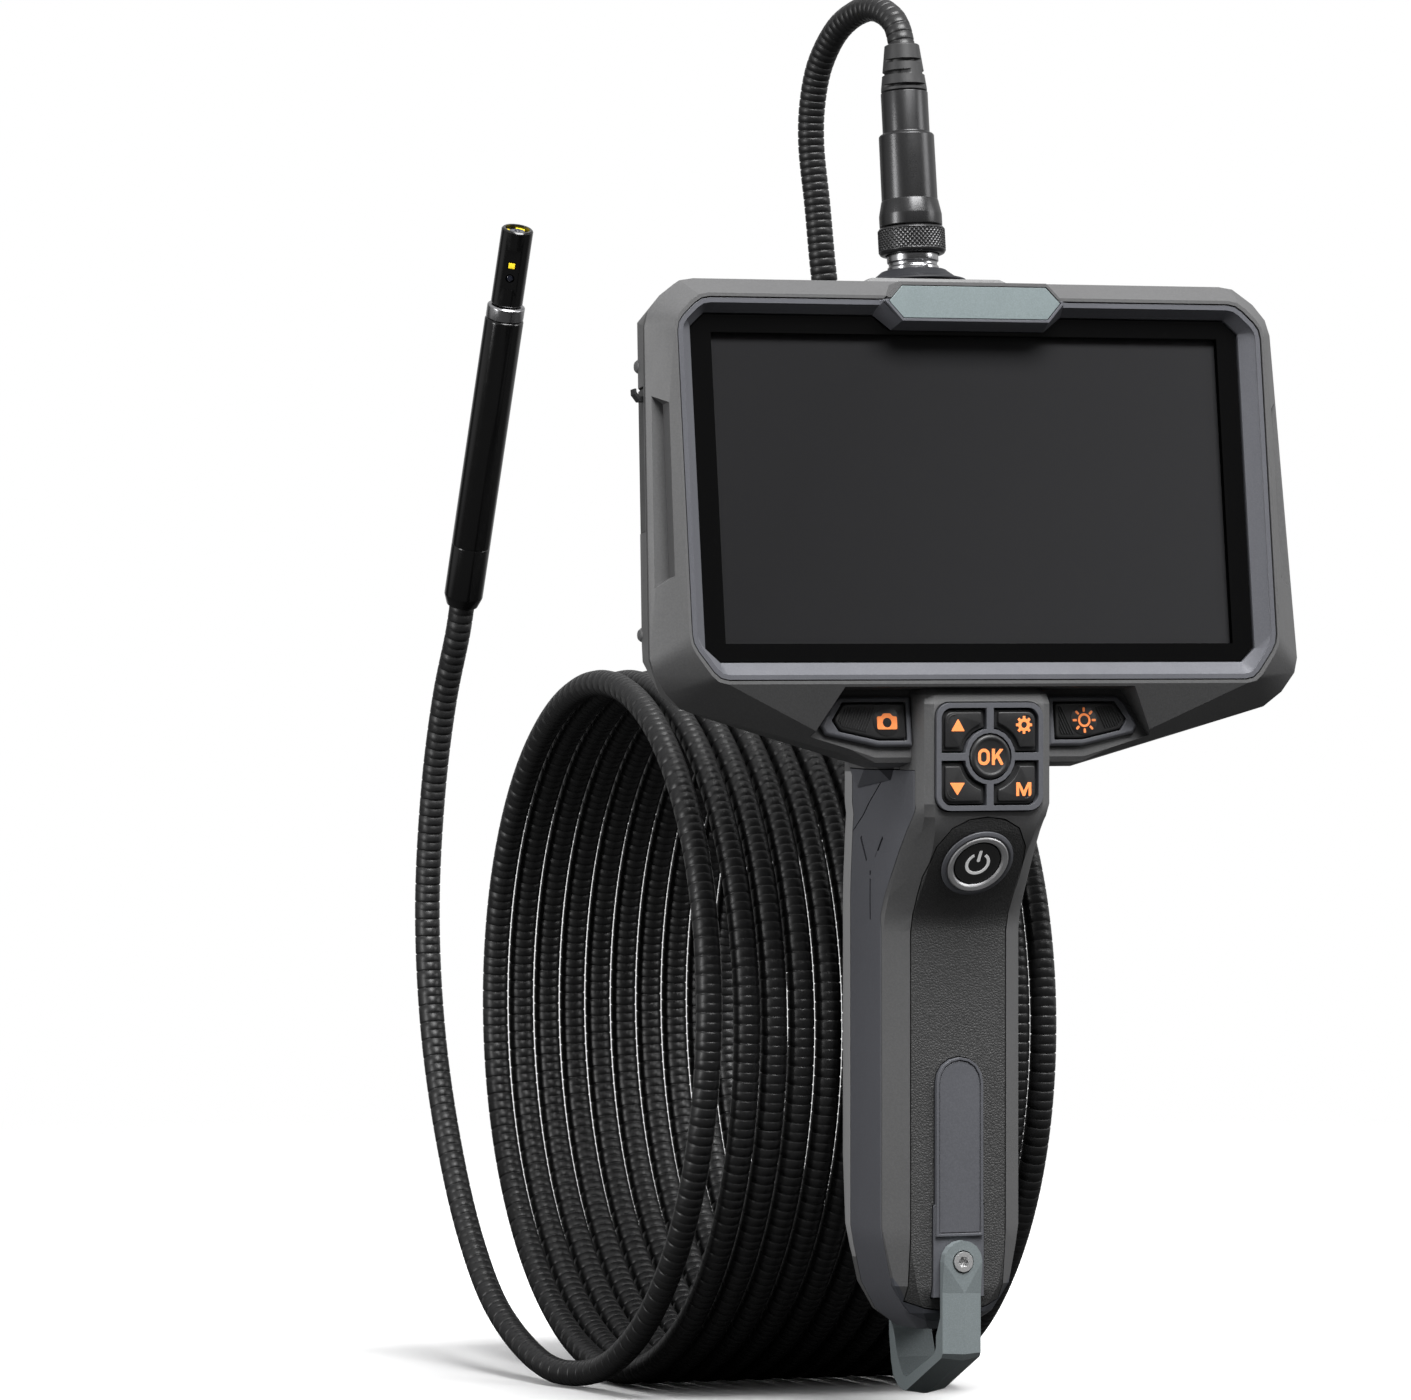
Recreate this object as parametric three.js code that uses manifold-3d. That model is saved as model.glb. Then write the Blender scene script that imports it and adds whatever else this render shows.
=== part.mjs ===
// Handheld inspection camera: display head on a pistol handle, plug-in gooseneck
// cable with a rotating-tip probe.  Millimetres, +Z up, the screen faces -Y, +X is
// the user's right.  Origin: middle of the handle's bottom end, Z along the handle.
import * as THREE from 'three';
import * as BufferGeometryUtils from 'three/addons/utils/BufferGeometryUtils.js';
import { ConvexGeometry } from 'three/addons/geometries/ConvexGeometry.js';
import Module from 'manifold-3d';

const wasm = await Module();
wasm.setup();

// ---------------------------------------------------------------- driving sizes
const DEG = Math.PI / 180;
const QUARTER = Math.PI / 2;
const GAP = 0.25;                         // running clearance between separate pieces
const JOINT_GAP = 0.12;                   // clearance at the joints between the shells
const REACH = 80;                         // half size of cutters that span the whole body
const HEAD_TILT = 6.83 * DEG;             // the display leans back from the handle axis
const HEAD_AT = [0, -19.0, 166.4];        // centre of the cover glass's front face
const GLASS_W = 119.4, GLASS_H = 68.2, GLASS_T = 1.1;
const LCD_W = 114.6, LCD_H = 66.4, LCD_T = 3.0;
const LCD_Y = GLASS_T + 0.3;              // front face of the panel, behind the glass
const HEAD_DEPTH = 14.0;                  // glass face to the flat back of the head
const SPINE_BACK = 33.5;                  // glass face to the back of the central spine
const CONN_BACK = 22.8;                   // glass face to the connector's axis
const HANDLE_HALF_W = 15.2, HANDLE_FRONT = -11.6, HANDLE_BACK = 11.5;
const BEVEL_Y = -7.9, STRIP_Y = 6.3;      // front shell / side band / rear shell joints
const SPLIT_Z = 111.2;                    // handle joints below, head joints above
const CABLE_R = 2.55;                     // gooseneck radius
const PROBE_BASE = [-42, 143.9, 143.9], PROBE_TIP = [-42, 113.7, 221.7];
const PROBE_R = 4.1, PROBE_HEAD_R = 3.35;
const PIVOT_Z = 13.7;                     // bail pivot height
const KEYPAD_Y = -25.8, KEYPAD_Z = 113.8, KEYPAD_HW = 11.6, KEYPAD_HH = 10.6;
const POWER_AT = [0, -20.2, 92.8], POWER_TILT = 34 * DEG, POWER_BEZEL_R = 7.1;
const PAD_T = 1.1;                        // thickness of the rubber grip pad

// ---------------------------------------------------------------- materials
const MATERIALS = {
  shell: { color: 0x3d3d3f, roughness: 0.62, metalness: 0.0 },
  frame: { color: 0x44464c, roughness: 0.5, metalness: 0.1 },
  trim: { color: 0x4b4c53, roughness: 0.42, metalness: 0.2 },
  glass: { color: 0x0a0a0b, roughness: 0.12, metalness: 0.0 },
  lcd: { color: 0x2c2c2e, roughness: 0.35, metalness: 0.0 },
  badge: { color: 0x4e5a59, roughness: 0.35, metalness: 0.5 },
  key: { color: 0x141415, roughness: 0.55, metalness: 0.0 },
  rubber: { color: 0x19191a, roughness: 0.75, metalness: 0.0 },
  steel: { color: 0xb9babb, roughness: 0.28, metalness: 0.95 },
  chrome: { color: 0xd0d2d4, roughness: 0.15, metalness: 1.0 },
  metal: { color: 0x56605f, roughness: 0.4, metalness: 0.6 },
  black: { color: 0x111113, roughness: 0.35, metalness: 0.2 },
  cable: { color: 0x161617, roughness: 0.4, metalness: 0.1 },
  led: { color: 0xe9d64a, roughness: 0.4, metalness: 0.0 },
  lens: { color: 0x0d1016, roughness: 0.05, metalness: 0.0 },
  pcb: { color: 0x1f5a37, roughness: 0.6, metalness: 0.0 },
  cell: { color: 0x3a5f9e, roughness: 0.5, metalness: 0.0 },
};

// ---------------------------------------------------------------- solids
class Solid {
  constructor(manifold) { this.manifold = manifold; }
  add(...others) {
    return new Solid(others.reduce((sum, other) => sum.add(other.manifold), this.manifold));
  }
  cut(...others) {
    return new Solid(others.reduce((rest, other) => rest.subtract(other.manifold), this.manifold));
  }
  and(other) { return new Solid(this.manifold.intersect(other.manifold)); }
  geometry() {
    const mesh = this.manifold.getMesh();
    const geometry = new THREE.BufferGeometry();
    const positions = new Float32Array(mesh.vertProperties);
    geometry.setAttribute('position', new THREE.BufferAttribute(positions, 3));
    geometry.setIndex(Array.from(mesh.triVerts));
    return geometry;
  }
}
function signedVolume(geometry, index) {
  const position = geometry.attributes.position;
  const corner = (i) => new THREE.Vector3().fromBufferAttribute(position, index[i]);
  let total = 0;
  for (let i = 0; i < index.length; i += 3) {
    total += corner(i).dot(corner(i + 1).cross(corner(i + 2))) / 6;
  }
  return total;
}
// Welds a geometry, drops collapsed triangles and turns it outward; `matrix` places it first.
function solid(geometry, matrix) {
  for (const key of Object.keys(geometry.attributes)) {
    if (key !== 'position') geometry.deleteAttribute(key);
  }
  if (matrix) geometry.applyMatrix4(matrix);
  const welded = BufferGeometryUtils.mergeVertices(geometry, 1e-4);
  const source = welded.index.array;
  const index = [];
  for (let i = 0; i < source.length; i += 3) {
    const [a, b, c] = [source[i], source[i + 1], source[i + 2]];
    if (a !== b && b !== c && a !== c) index.push(a, b, c);
  }
  if (signedVolume(welded, index) < 0) index.reverse();
  return new Solid(new wasm.Manifold(new wasm.Mesh({
    numProp: 3,
    vertProperties: new Float32Array(welded.attributes.position.array),
    triVerts: new Uint32Array(index),
  })));
}
const moved = (body, matrix) => solid(body.geometry(), matrix);
const shift = (x, y, z) => new THREE.Matrix4().makeTranslation(x, y, z);
const turnX = (angle) => new THREE.Matrix4().makeRotationX(angle);

// Matrices that send local +Z along the named axis.
const ALONG = {
  x: new THREE.Matrix4().set(0, 0, 1, 0, 1, 0, 0, 0, 0, 1, 0, 0, 0, 0, 0, 1),
  y: new THREE.Matrix4().set(1, 0, 0, 0, 0, 0, 1, 0, 0, 1, 0, 0, 0, 0, 0, 1),
  z: new THREE.Matrix4(),
};
const shapeOf = (outline) => (outline instanceof THREE.Shape
  ? outline : new THREE.Shape(outline.map(([x, y]) => new THREE.Vector2(x, y))));
// An outline drawn in the plane across `axis` (xz, yz or xy), from `start` to `end` along it.
function prism(outline, axis, start, end) {
  const geometry = new THREE.ExtrudeGeometry(shapeOf(outline), {
    depth: end - start, bevelEnabled: false, curveSegments: 4,
  });
  geometry.translate(0, 0, start);
  return solid(geometry, ALONG[axis]);
}
function box(x0, x1, y0, y1, z0, z1) {
  const geometry = new THREE.BoxGeometry(x1 - x0, y1 - y0, z1 - z0);
  return solid(geometry, shift((x0 + x1) / 2, (y0 + y1) / 2, (z0 + z1) / 2));
}
// Turned body about Z; [radius, z] profile that starts and ends on the axis or closes on itself.
function turned(profile, seg = 24) {
  const points = profile.map(([radius, z]) => new THREE.Vector2(radius, z));
  return solid(new THREE.LatheGeometry(points, seg), ALONG.y);
}
const cylinder = (r, z0, z1, seg = 24) => turned([[0, z0], [r, z0], [r, z1], [0, z1]], seg);
const tube = (inner, outer, z0, z1, seg) => turned(
  [[inner, z0], [outer, z0], [outer, z1], [inner, z1], [inner, z0]], seg);
// Cylinder along +Y about (x, z).
const rodY = (r, [x, z], y0, y1, seg = 12) => moved(
  cylinder(r, 0, y1 - y0, seg), shift(x, y0, z).multiply(turnX(-QUARTER)));
// Turns a body's +Z to face the front (-Y), then places it.
const faceFront = (body, x, y, z) => moved(body, shift(x, y, z).multiply(turnX(QUARTER)));
const hull = (points) => solid(new ConvexGeometry(points.map((p) => new THREE.Vector3(...p))));
// Stacked rings with the same number of points, closed at both ends.
function loft(rings) {
  const n = rings[0].length;
  const last = (rings.length - 1) * n;
  const index = [];
  for (let k = 0; k + 1 < rings.length; k++) {
    for (let i = 0; i < n; i++) {
      const a = k * n + i, b = k * n + (i + 1) % n;
      index.push(a, b, b + n, a, b + n, a + n);
    }
  }
  for (let i = 1; i + 1 < n; i++) index.push(0, i + 1, i, last, last + i, last + i + 1);
  const geometry = new THREE.BufferGeometry();
  geometry.setAttribute('position', new THREE.Float32BufferAttribute(rings.flat(2), 3));
  geometry.setIndex(index);
  return solid(geometry);
}

// ---------------------------------------------------------------- outlines
const flipX = ([x, ...rest]) => [-x, ...rest];
const mirror = (points) => points.map(flipX).reverse();
const bothSides = (half) => [...half, ...mirror(half)];            // ordered closed outline
const symmetric = (points) => [...points, ...points.map(flipX)];   // unordered, for hulls
const atX = (outline, x) => outline.map(([y, z]) => [x, y, z]);
const atY = (outline, y) => outline.map(([x, z]) => [x, y, z]);
function roundRect(hx, hz, r, cx = 0, cz = 0) {
  const shape = new THREE.Shape();
  [[1, 1], [-1, 1], [-1, -1], [1, -1]].forEach(([sx, sz], i) => {
    shape.absarc(cx + sx * (hx - r), cz + sz * (hz - r), r, i * QUARTER, (i + 1) * QUARTER);
  });
  shape.closePath();
  return shape;
}
function hexagon(r, cx = 0, cy = 0) {
  return [...Array(6).keys()].map((i) => [
    cx + r * Math.cos(i * Math.PI / 3), cy + r * Math.sin(i * Math.PI / 3)]);
}
// Grows (distance > 0) or shrinks a convex outline.
function offset(points, distance) {
  const n = points.length;
  const area = points.reduce((sum, [x, y], i) => {
    const [nextX, nextY] = points[(i + 1) % n];
    return sum + x * nextY - nextX * y;
  }, 0);
  const sign = Math.sign(area);
  const normal = (from, to) => {
    const dx = to[0] - from[0], dy = to[1] - from[1];
    const length = Math.hypot(dx, dy);
    return [sign * dy / length, -sign * dx / length];
  };
  return points.map((point, i) => {
    const before = normal(points[(i + n - 1) % n], point);
    const after = normal(point, points[(i + 1) % n]);
    const k = distance / (1 + before[0] * after[0] + before[1] * after[1]);
    return [point[0] + (before[0] + after[0]) * k, point[1] + (before[1] + after[1]) * k];
  });
}
// Rounds every corner of an outline by about r.
function soften(points, r) {
  const n = points.length;
  return points.flatMap((p, i) => {
    const [a, b] = [points[(i + n - 1) % n], points[(i + 1) % n]].map((end) => {
      const dx = end[0] - p[0], dy = end[1] - p[1];
      const length = Math.hypot(dx, dy);
      const step = Math.min(r, 0.42 * length) / length;
      return [p[0] + dx * step, p[1] + dy * step];
    });
    return [a, [(a[0] + 2 * p[0] + b[0]) / 4, (a[1] + 2 * p[1] + b[1]) / 4], b];
  });
}

// ---------------------------------------------------------------- groups
// Head frame: x, y into the body (the glass front is y = 0), z up the screen.
const root = new THREE.Group();
const headGroup = new THREE.Group();
headGroup.position.set(...HEAD_AT);
headGroup.rotation.x = -HEAD_TILT;
headGroup.updateMatrix();
root.add(headGroup);
const inHead = (body) => moved(body, headGroup.matrix);
function put(parent, name, body, material) {
  const look = new THREE.MeshStandardMaterial(MATERIALS[material]);
  const mesh = new THREE.Mesh(body.geometry(), look);
  mesh.name = name;
  parent.add(mesh);
}

// ================================================================ outer forms
const LIP = atY(soften(bothSides([[59.0, 37.9], [64.4, 32.7], [64.4, -31.3], [58.8, -38.9]]), 2.2),
  -3.2);
// [x, y, z] hull points in the head frame, right half
const EDGE = [
  [57.6, 2, 41.5], [60.6, 2, 41.05], [65.0, 2, 38.0], [67.6, 2, 34.9], [68.5, 2, 31.8],
  [70.5, 2, -29.5], [70.7, 2, -33.3], [69.9, 2, -36.3], [67.3, 3, -40.0], [63.8, 4.5, -42.8],
  [58.8, 6, -44.2], [43.3, 8, -48.3], [22.5, 9.5, -54.0], [22.5, 4.4, -53.6], [33.5, 4.2, -50.4],
];
const REAR = [
  [59.6, 7, 41.1], [67.8, 7, 33.3], [70.1, 7, -29.6], [70.1, 7, -33.3], [66.6, 7, -40.2],
  [57, HEAD_DEPTH, 37.2], [63.8, HEAD_DEPTH, 31.2], [65.6, HEAD_DEPTH, -30.5],
  [61.0, HEAD_DEPTH, -38.0], [22, HEAD_DEPTH, -51.0],
];
const SPINE = [
  [21, 11, 40.5], [21, 11, -52], [14.2, 14, 43.9], [12.4, 30.5, 43.9], [12.4, SPINE_BACK, 41.2],
  [21, 17, 38.5], [15.2, SPINE_BACK, 30], [15.2, 29, -56], [15.2, 14, -56],
  [15.2, SPINE_BACK, -50], [14, 12.5, 43.9],
];
// Handle, neck and keypad pod as one loft of sections along Z.
// [z, front half width, front y, corner half width, corner y, side half width, joint y]
const SECTIONS = [
  [0.0, 3.6, -6.0, 5.2, -4.6, 5.4, -3.5],
  [3.4, 6.6, -9.6, 9.4, -7.4, 9.7, -6.2],
  [8.9, 9.0, -11.5, 12.5, -8.8, 12.8, -7.6],
  [16.5, 10.2, -11.55, 14.2, -8.4, 14.5, -7.5],
  [20.5, 10.6, HANDLE_FRONT, 14.9, -8.2, HANDLE_HALF_W, -7.4],
  [34.0, 10.6, HANDLE_FRONT, 14.9, -8.2, HANDLE_HALF_W, -7.4],
  [79.0, 10.6, HANDLE_FRONT, 14.9, -8.2, HANDLE_HALF_W, -7.4],
  [82.5, 10.4, -12.7, 14.8, -9.0, HANDLE_HALF_W, -8.2],
  [86.0, 10.2, -15.0, 14.7, -10.6, HANDLE_HALF_W, -9.8],
  [90.0, 10.2, -18.0, 14.6, -13.0, 15.1, -12.2],
  [95.0, 10.4, -21.4, 14.4, -16.2, 14.9, -15.4],
  [99.0, 10.9, -23.9, 14.3, -19.2, 14.7, -18.4],
  [102.0, 11.5, -25.2, 14.2, -21.8, 14.5, -21.0],
  [104.5, 11.9, -25.5, 14.4, -22.9, 14.8, -21.6],
  [124.2, 11.9, -25.5, 14.4, -22.9, 14.8, -21.6],
  [126.0, 11.5, -25.0, 14.1, -22.3, 14.6, -21.0],
  [127.2, 10.7, -23.9, 13.4, -21.2, 14.1, -19.9],
  [127.9, 9.4, -22.2, 12.4, -19.6, 13.2, -18.6],
];
// [z below which it holds, y of the handle's back]
const BACKS = [[1, 7.6], [5, 9.3], [12, 9.9], [17, 10.1], [24, 10.4], [Infinity, HANDLE_BACK]];
const backAt = (z) => BACKS.find(([limit]) => z < limit)[1];
function section([z, frontX, frontY, cornerX, cornerY, sideX, jointY], back) {
  // the pod's front corners are fuller than the handle's bevels
  const full = Math.max(0, Math.min(1, (z - 97) / 6)) * 0.5;
  return bothSides([
    [frontX, frontY, z],
    [(frontX + cornerX) / 2 + full, (frontY + cornerY) / 2 - full, z],
    [cornerX, cornerY, z], [sideX, jointY, z],
    [sideX, back - 1.9, z], [sideX - 0.35, back - 0.9, z],
    [sideX - 1.1, back - 0.25, z], [sideX - 2.4, back, z],
  ]);
}
const headOuter = hull([...LIP, ...symmetric(EDGE), ...symmetric(REAR)]);
const handleOuter = loft(SECTIONS.map((row) => section(row, backAt(row[0]))));
const bodyOuter = handleOuter.add(inHead(headOuter), inHead(hull(symmetric(SPINE))));

// ================================================================ inside hollow
const INNER_BACK = HEAD_DEPTH - 2;
const headInner = hull(symmetric([
  [57.0, 2.4, 35.6], [62.6, 2.4, 31.0], [63.2, 2.4, -30.5], [58.1, 2.4, -36.1],
  [57.5, 5, 38.6], [65.2, 5, 32.0], [67.3, 5, -29.8], [63.5, 5, -37.0],
  [56, INNER_BACK, 35.2], [62, INNER_BACK, 30], [63.6, INNER_BACK, -29.6],
  [59.2, INNER_BACK, -35.8], [22, INNER_BACK, -48.0], [30, 8.6, -44.5], [14, 9.5, -50.5],
]));
const spineInner = hull(symmetric([
  [17.5, 11, 38.0], [17.5, 11, -48], [12.0, 14, 41.6], [10.2, 29.5, 41.6],
  [10.2, SPINE_BACK - 2, 39.0], [12.8, SPINE_BACK - 2, 29], [12.8, SPINE_BACK - 3.4, -50],
  [12.8, 24, -56], [12.8, 14, -56],
]));
function handleInner() {
  const inset = SECTIONS.slice(2, 13).map(
    ([z, frontX, frontY, cornerX, cornerY, sideX, jointY]) => [
      z + (z < 12 ? 1.5 : z > 80 ? 2.2 : 0), frontX - 1.6, frontY + 2.8,
      cornerX - 2.2, cornerY + 2.4, sideX - 2.3, jointY + 2.2]);
  return loft([
    section([6, 3.6, -7.0, 6.4, -5.6, 7.2, -4.6], 6.4),
    ...[...inset, [120, 9.4, -22.2, 11.6, -20.2, 12.0, -19.4]]
      .map((row) => section(row, backAt(row[0] - 1.6) - 2.0)),
  ]);
}
const walls = bodyOuter.cut(handleInner().add(inHead(headInner), inHead(spineInner)));

// ================================================================ joints between the shells
// [y, z] joint lines seen from the side: the handle's in the part frame, the head's in its own
const HANDLE_JOINT = [
  [BEVEL_Y, -5], [BEVEL_Y, 82.5], [-9.6, 86], [-12.3, 90], [-15.6, 95],
  [-18.6, 99], [-21.2, 102], [-22.9, 104.5], [-22.9, 118],
];
// 2.6 mm behind the glass, stepping back under the chin
const HEAD_JOINT = [[2.6, 60], [2.6, -35.6], [7.4, -40.5], [8.8, -46], [9.6, -54.3], [9.6, -60]];
// Everything in front of a joint line, out to y = far; `grow` moves the joint back.
const ahead = (joint, far, grow) => prism([
  [far, joint[0][1]], ...joint.map(([y, z]) => [y + grow, z]), [far, joint.at(-1)[1]],
], 'x', -REACH, REACH);
const slab = (z0, z1) => box(-REACH, REACH, -REACH, REACH, z0, z1);
const handleFront = (grow) => ahead(HANDLE_JOINT, -60, grow);
const headFront = (grow, bottom) => inHead(ahead(HEAD_JOINT, -30, grow)).and(slab(bottom, 300));
const podZone = (grow) => box(-14.9 - grow, 14.9 + grow, -60, -22.4 + grow,
  103 - grow, 130 + grow);

// ================================================================ shared outlines, [x, z]
const TRIM = soften(bothSides([[58.4, 37.0], [63.6, 32.2], [63.6, -30.9], [58.2, -38.0]]), 1.9);
const GLASS = bothSides([
  [GLASS_W / 2 - 2.9, GLASS_H / 2], [GLASS_W / 2, GLASS_H / 2 - 2.6],
  [GLASS_W / 2, -GLASS_H / 2 + 2.6], [GLASS_W / 2 - 2.9, -GLASS_H / 2],
]);
const KEY_TRIM = [
  [14.9, -40.6], [30.4, -40.6], [32.2, -42.2], [34.6, -46.6],
  [33.6, -48.2], [22.3, -50.6], [14.9, -50.6],
];
const SIDE_KEY = [
  [16.4, -42.1], [29.6, -42.1], [31.8, -45.4], [30.6, -47.3], [22.2, -49.1], [16.4, -49.1],
];
const BADGE = [
  [18.7, 36.6], [15.7, 39.7], [-15.7, 39.7], [-18.7, 36.6], [-15.7, 33.3], [15.7, 33.3],
];
const PAD = [
  [-10.2, 5.9], [-6.4, 4.5], [0, 3.6], [6.4, 4.5], [10.2, 5.9], [10.3, 30], [10.3, 84],
  [10.5, 90], [9.6, 96], [7.2, 99.6], [3.8, 101.3], [0, 101.8], [-3.8, 101.3],
  [-7.2, 99.6], [-9.6, 96], [-10.5, 90], [-10.3, 84], [-10.3, 30],
];
// Inlay plate: a wide foot below a narrower top with an arched end.
const FOOT_HW = 5.5, FOOT_Z = 6.6, TOP_HW = 5.1;
const ARCH = [
  [TOP_HW, 48.9], [4.7, 50.9], [3.65, 52.6], [2.0, 53.7], [0, 54.1],
  [-2.0, 53.7], [-3.65, 52.6], [-4.7, 50.9], [-TOP_HW, 48.9],
];
const INLAY = [
  [-FOOT_HW, FOOT_Z], [FOOT_HW, FOOT_Z], [FOOT_HW, 24.6], [TOP_HW, 25.0],
  ...ARCH, [-TOP_HW, 25.0], [-FOOT_HW, 24.6],
];
const INLAY_TOP = [[-TOP_HW, 18.7], [TOP_HW, 18.7], ...ARCH];
const CASE_SCREWS = [[61.0, 27.0], [-61.0, 27.0], [61.4, -27.5], [-61.4, -27.5]];
const PIVOT = [0, PIVOT_Z];
const PAD_CENTRE = [0, KEYPAD_Z];
const keypadOutline = (inset, r) => roundRect(KEYPAD_HW - inset, KEYPAD_HH - inset, r,
  ...PAD_CENTRE);

// ================================================================ shared cutters
const screenPocket = inHead(prism(offset(TRIM, GAP), 'y', -10, 1.15)
  .add(prism(offset(GLASS, GAP), 'y', -10, 1.4), box(-57.6, 57.6, 0, 6, -33.5, 33.5)));
const padBed = prism(offset(PAD, GAP), 'y', -40, 20)
  .cut(moved(handleOuter, shift(0, PAD_T + GAP, 0)));
const keypadBed = prism(keypadOutline(-GAP, 3.1), 'y', -40, KEYPAD_Y + 2.0);
const keyWell = prism(keypadOutline(1.05, 1.9), 'y', -40, -21);
const inlayBed = prism([
  [-FOOT_HW - GAP, FOOT_Z - GAP], [FOOT_HW + GAP, FOOT_Z - GAP],
  [FOOT_HW + GAP, 25], [TOP_HW + GAP, 25.2], ...offset(INLAY_TOP, GAP).slice(2),
  [-TOP_HW - GAP, 25.2], [-FOOT_HW - GAP, 25],
], 'y', -40, -9.95);
const pivotHole = rodY(1.45, PIVOT, -20, 20);
// power button frame: local +Z points out of the sloping face (forward and down)
const POWER_TURN = QUARTER + POWER_TILT;
const powerMatrix = shift(...POWER_AT).multiply(turnX(POWER_TURN));
// badge opening and the raised rim around it, both ending at y = back
const badgeHole = (back) => prism(offset(BADGE, GAP / 2), 'y', -6, back);
const badgeRim = (back) => prism(offset(BADGE, 0.62), 'y', -4.75, back).cut(badgeHole(-2));

// ================================================================ front housing
// grip notch in the head's side bevel
const notch = (side) => inHead(hull([-6, 1.0].flatMap((y) => [
  [side * 65.8, y, 16.4], [side * 72, y, 20.6], [side * 66.2, y, -17.6], [side * 72.6, y, -21.8],
])));
function frontHousing() {
  const zone = handleFront(0).and(slab(-10, SPLIT_Z)).add(headFront(0, SPLIT_Z), podZone(0));
  // field in the chin that the side keys stand in
  const chin = bothSides([[31.6, -39.4], [37.0, -48.6], [22.8, -52.6]]);
  const recess = inHead(prism(chin, 'y', -12, 4.0)).cut(handleOuter);
  const powerBore = cylinder(POWER_BEZEL_R + GAP, -1.6, 12).add(cylinder(5.3, -8, 0, 20));
  const sideWells = [SIDE_KEY, mirror(SIDE_KEY)]
    .map((key) => inHead(prism(offset(key, GAP), 'y', 0, 12)));
  const screwBosses = CASE_SCREWS
    .map((at) => inHead(rodY(2.0, at, 2.0, 7.8).cut(rodY(1.25, at, 3.4, 9))));
  const axleBoss = rodY(3.0, PIVOT, -9.9, 5.5).cut(pivotHole);
  // badge seat on the top lip
  const seat = prism(offset(BADGE, 0.9), 'y', -4.1, 1.2).and(box(-30, 30, -10, 10, 37.6, 45));
  const rim = badgeRim(-4.0).and(box(-30, 30, -10, 10, 37.3, 45));
  return walls.and(zone)
    .cut(screenPocket, recess, notch(1), notch(-1), padBed, moved(powerBore, powerMatrix),
      keypadBed, keyWell, ...sideWells, inlayBed, pivotHole)
    .add(...screwBosses, axleBoss)
    .add(inHead(seat))
    .cut(inHead(prism(offset(BADGE, 1.4), 'y', -12, -4.1)), screenPocket)
    .add(inHead(rim))
    .cut(inHead(badgeHole(-3.95)), screenPocket);
}
put(root, 'front_housing', frontHousing(), 'shell');

// ================================================================ rear housing
// Slab on the head's left side, following its slope.
// Each x pair is [at the y0 edge, at the y1 edge] for the top; the bottom lies `spread` further out.
function leaf({ outer, inner, y, z: [bottom, top] }) {
  const spread = 0.95;
  const end = (z, out) => [outer, inner].flatMap((xs) => xs.map((x, i) => [x - out, y[i], z]));
  return hull([...end(top, 0), ...end(bottom, spread)]);
}
const stud = (x, z) => inHead(moved(
  turned([[0, 0], [1.4, 0], [1.4, 0.6], [1.0, 1.1], [0, 1.3]], 12),
  shift(x, 7.4, z).multiply(new THREE.Matrix4().makeRotationY(-QUARTER))));
function rearHousing() {
  const top = SPLIT_Z + JOINT_GAP, front = STRIP_Y + JOINT_GAP;
  const zone = prism([[front, -5], [60, -5], [60, 230], [-60, 230], [-60, top], [front, top]],
    'x', -REACH, REACH).cut(headFront(0.26, SPLIT_Z - 1), podZone(JOINT_GAP));
  const connectorBore = inHead(moved(cylinder(5.5, 36, 60), shift(0, CONN_BACK, 0)));
  let housing = walls.and(zone).cut(connectorBore, pivotHole);
  for (const at of CASE_SCREWS) {
    housing = housing.add(inHead(rodY(2.9, at, 8.1, HEAD_DEPTH - 1.0)))
      .cut(inHead(rodY(1.35, at, 5, 30)), inHead(rodY(2.35, at, 10.6, 30)));
  }
  const bay = leaf({ outer: [-74, -74], inner: [-67.75, -66.6], y: [3.4, 9.4], z: [-8.3, 20.3] });
  const portHoles = box(-74, -60, 5.0, 8.4, 9.7, 19.0).add(box(-74, -60, 5.6, 7.4, -6.0, 6.2));
  return housing.cut(inHead(bay), inHead(portHoles)).add(stud(-67.3, 24.7), stud(-69.3, -28.0));
}
put(root, 'rear_housing', rearHousing(), 'shell');

// ================================================================ side band
// Marks engraved on both sides: [start [y, z], end [y, z], width]
const MARKS = [
  [[2.3, 97.6], [-0.9, 93.0], 0.8], [[-7.9, 97.7], [-4.9, 93.5], 0.8],
  [[-2.8, 91.0], [-2.8, 90.1], 0.9], [[-2.8, 89.4], [-3.0, 81.3], 0.5],
  [[-10.9, 111.4], [6.3, 98.55], 0.3],
];
const MARK_DEPTH = 0.35;
function bar([y0, z0], [y1, z1], width) {
  const dy = y1 - y0, dz = z1 - z0;
  const half = width / 2 / Math.hypot(dy, dz);
  const ny = -dz * half, nz = dy * half;
  return [[y0 + ny, z0 + nz], [y1 + ny, z1 + nz], [y1 - ny, z1 - nz], [y0 - ny, z0 - nz]];
}
function sideBand() {
  const zone = box(-REACH, REACH, -REACH, STRIP_Y - JOINT_GAP, -10, SPLIT_Z - JOINT_GAP)
    .cut(handleFront(JOINT_GAP), podZone(JOINT_GAP), headFront(JOINT_GAP, SPLIT_Z - JOINT_GAP));
  let band = walls.and(zone).cut(pivotHole, keyWell, keypadBed, padBed);
  for (const side of [-1, 1]) {
    const skin = handleOuter.cut(moved(handleOuter, shift(-side * MARK_DEPTH, 0, 0)));
    const [x0, x1] = side < 0 ? [-20, -9] : [9, 20];
    for (const mark of MARKS) band = band.cut(prism(bar(...mark), 'x', x0, x1).and(skin));
  }
  return band;
}
put(root, 'side_band', sideBand(), 'frame');

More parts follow.
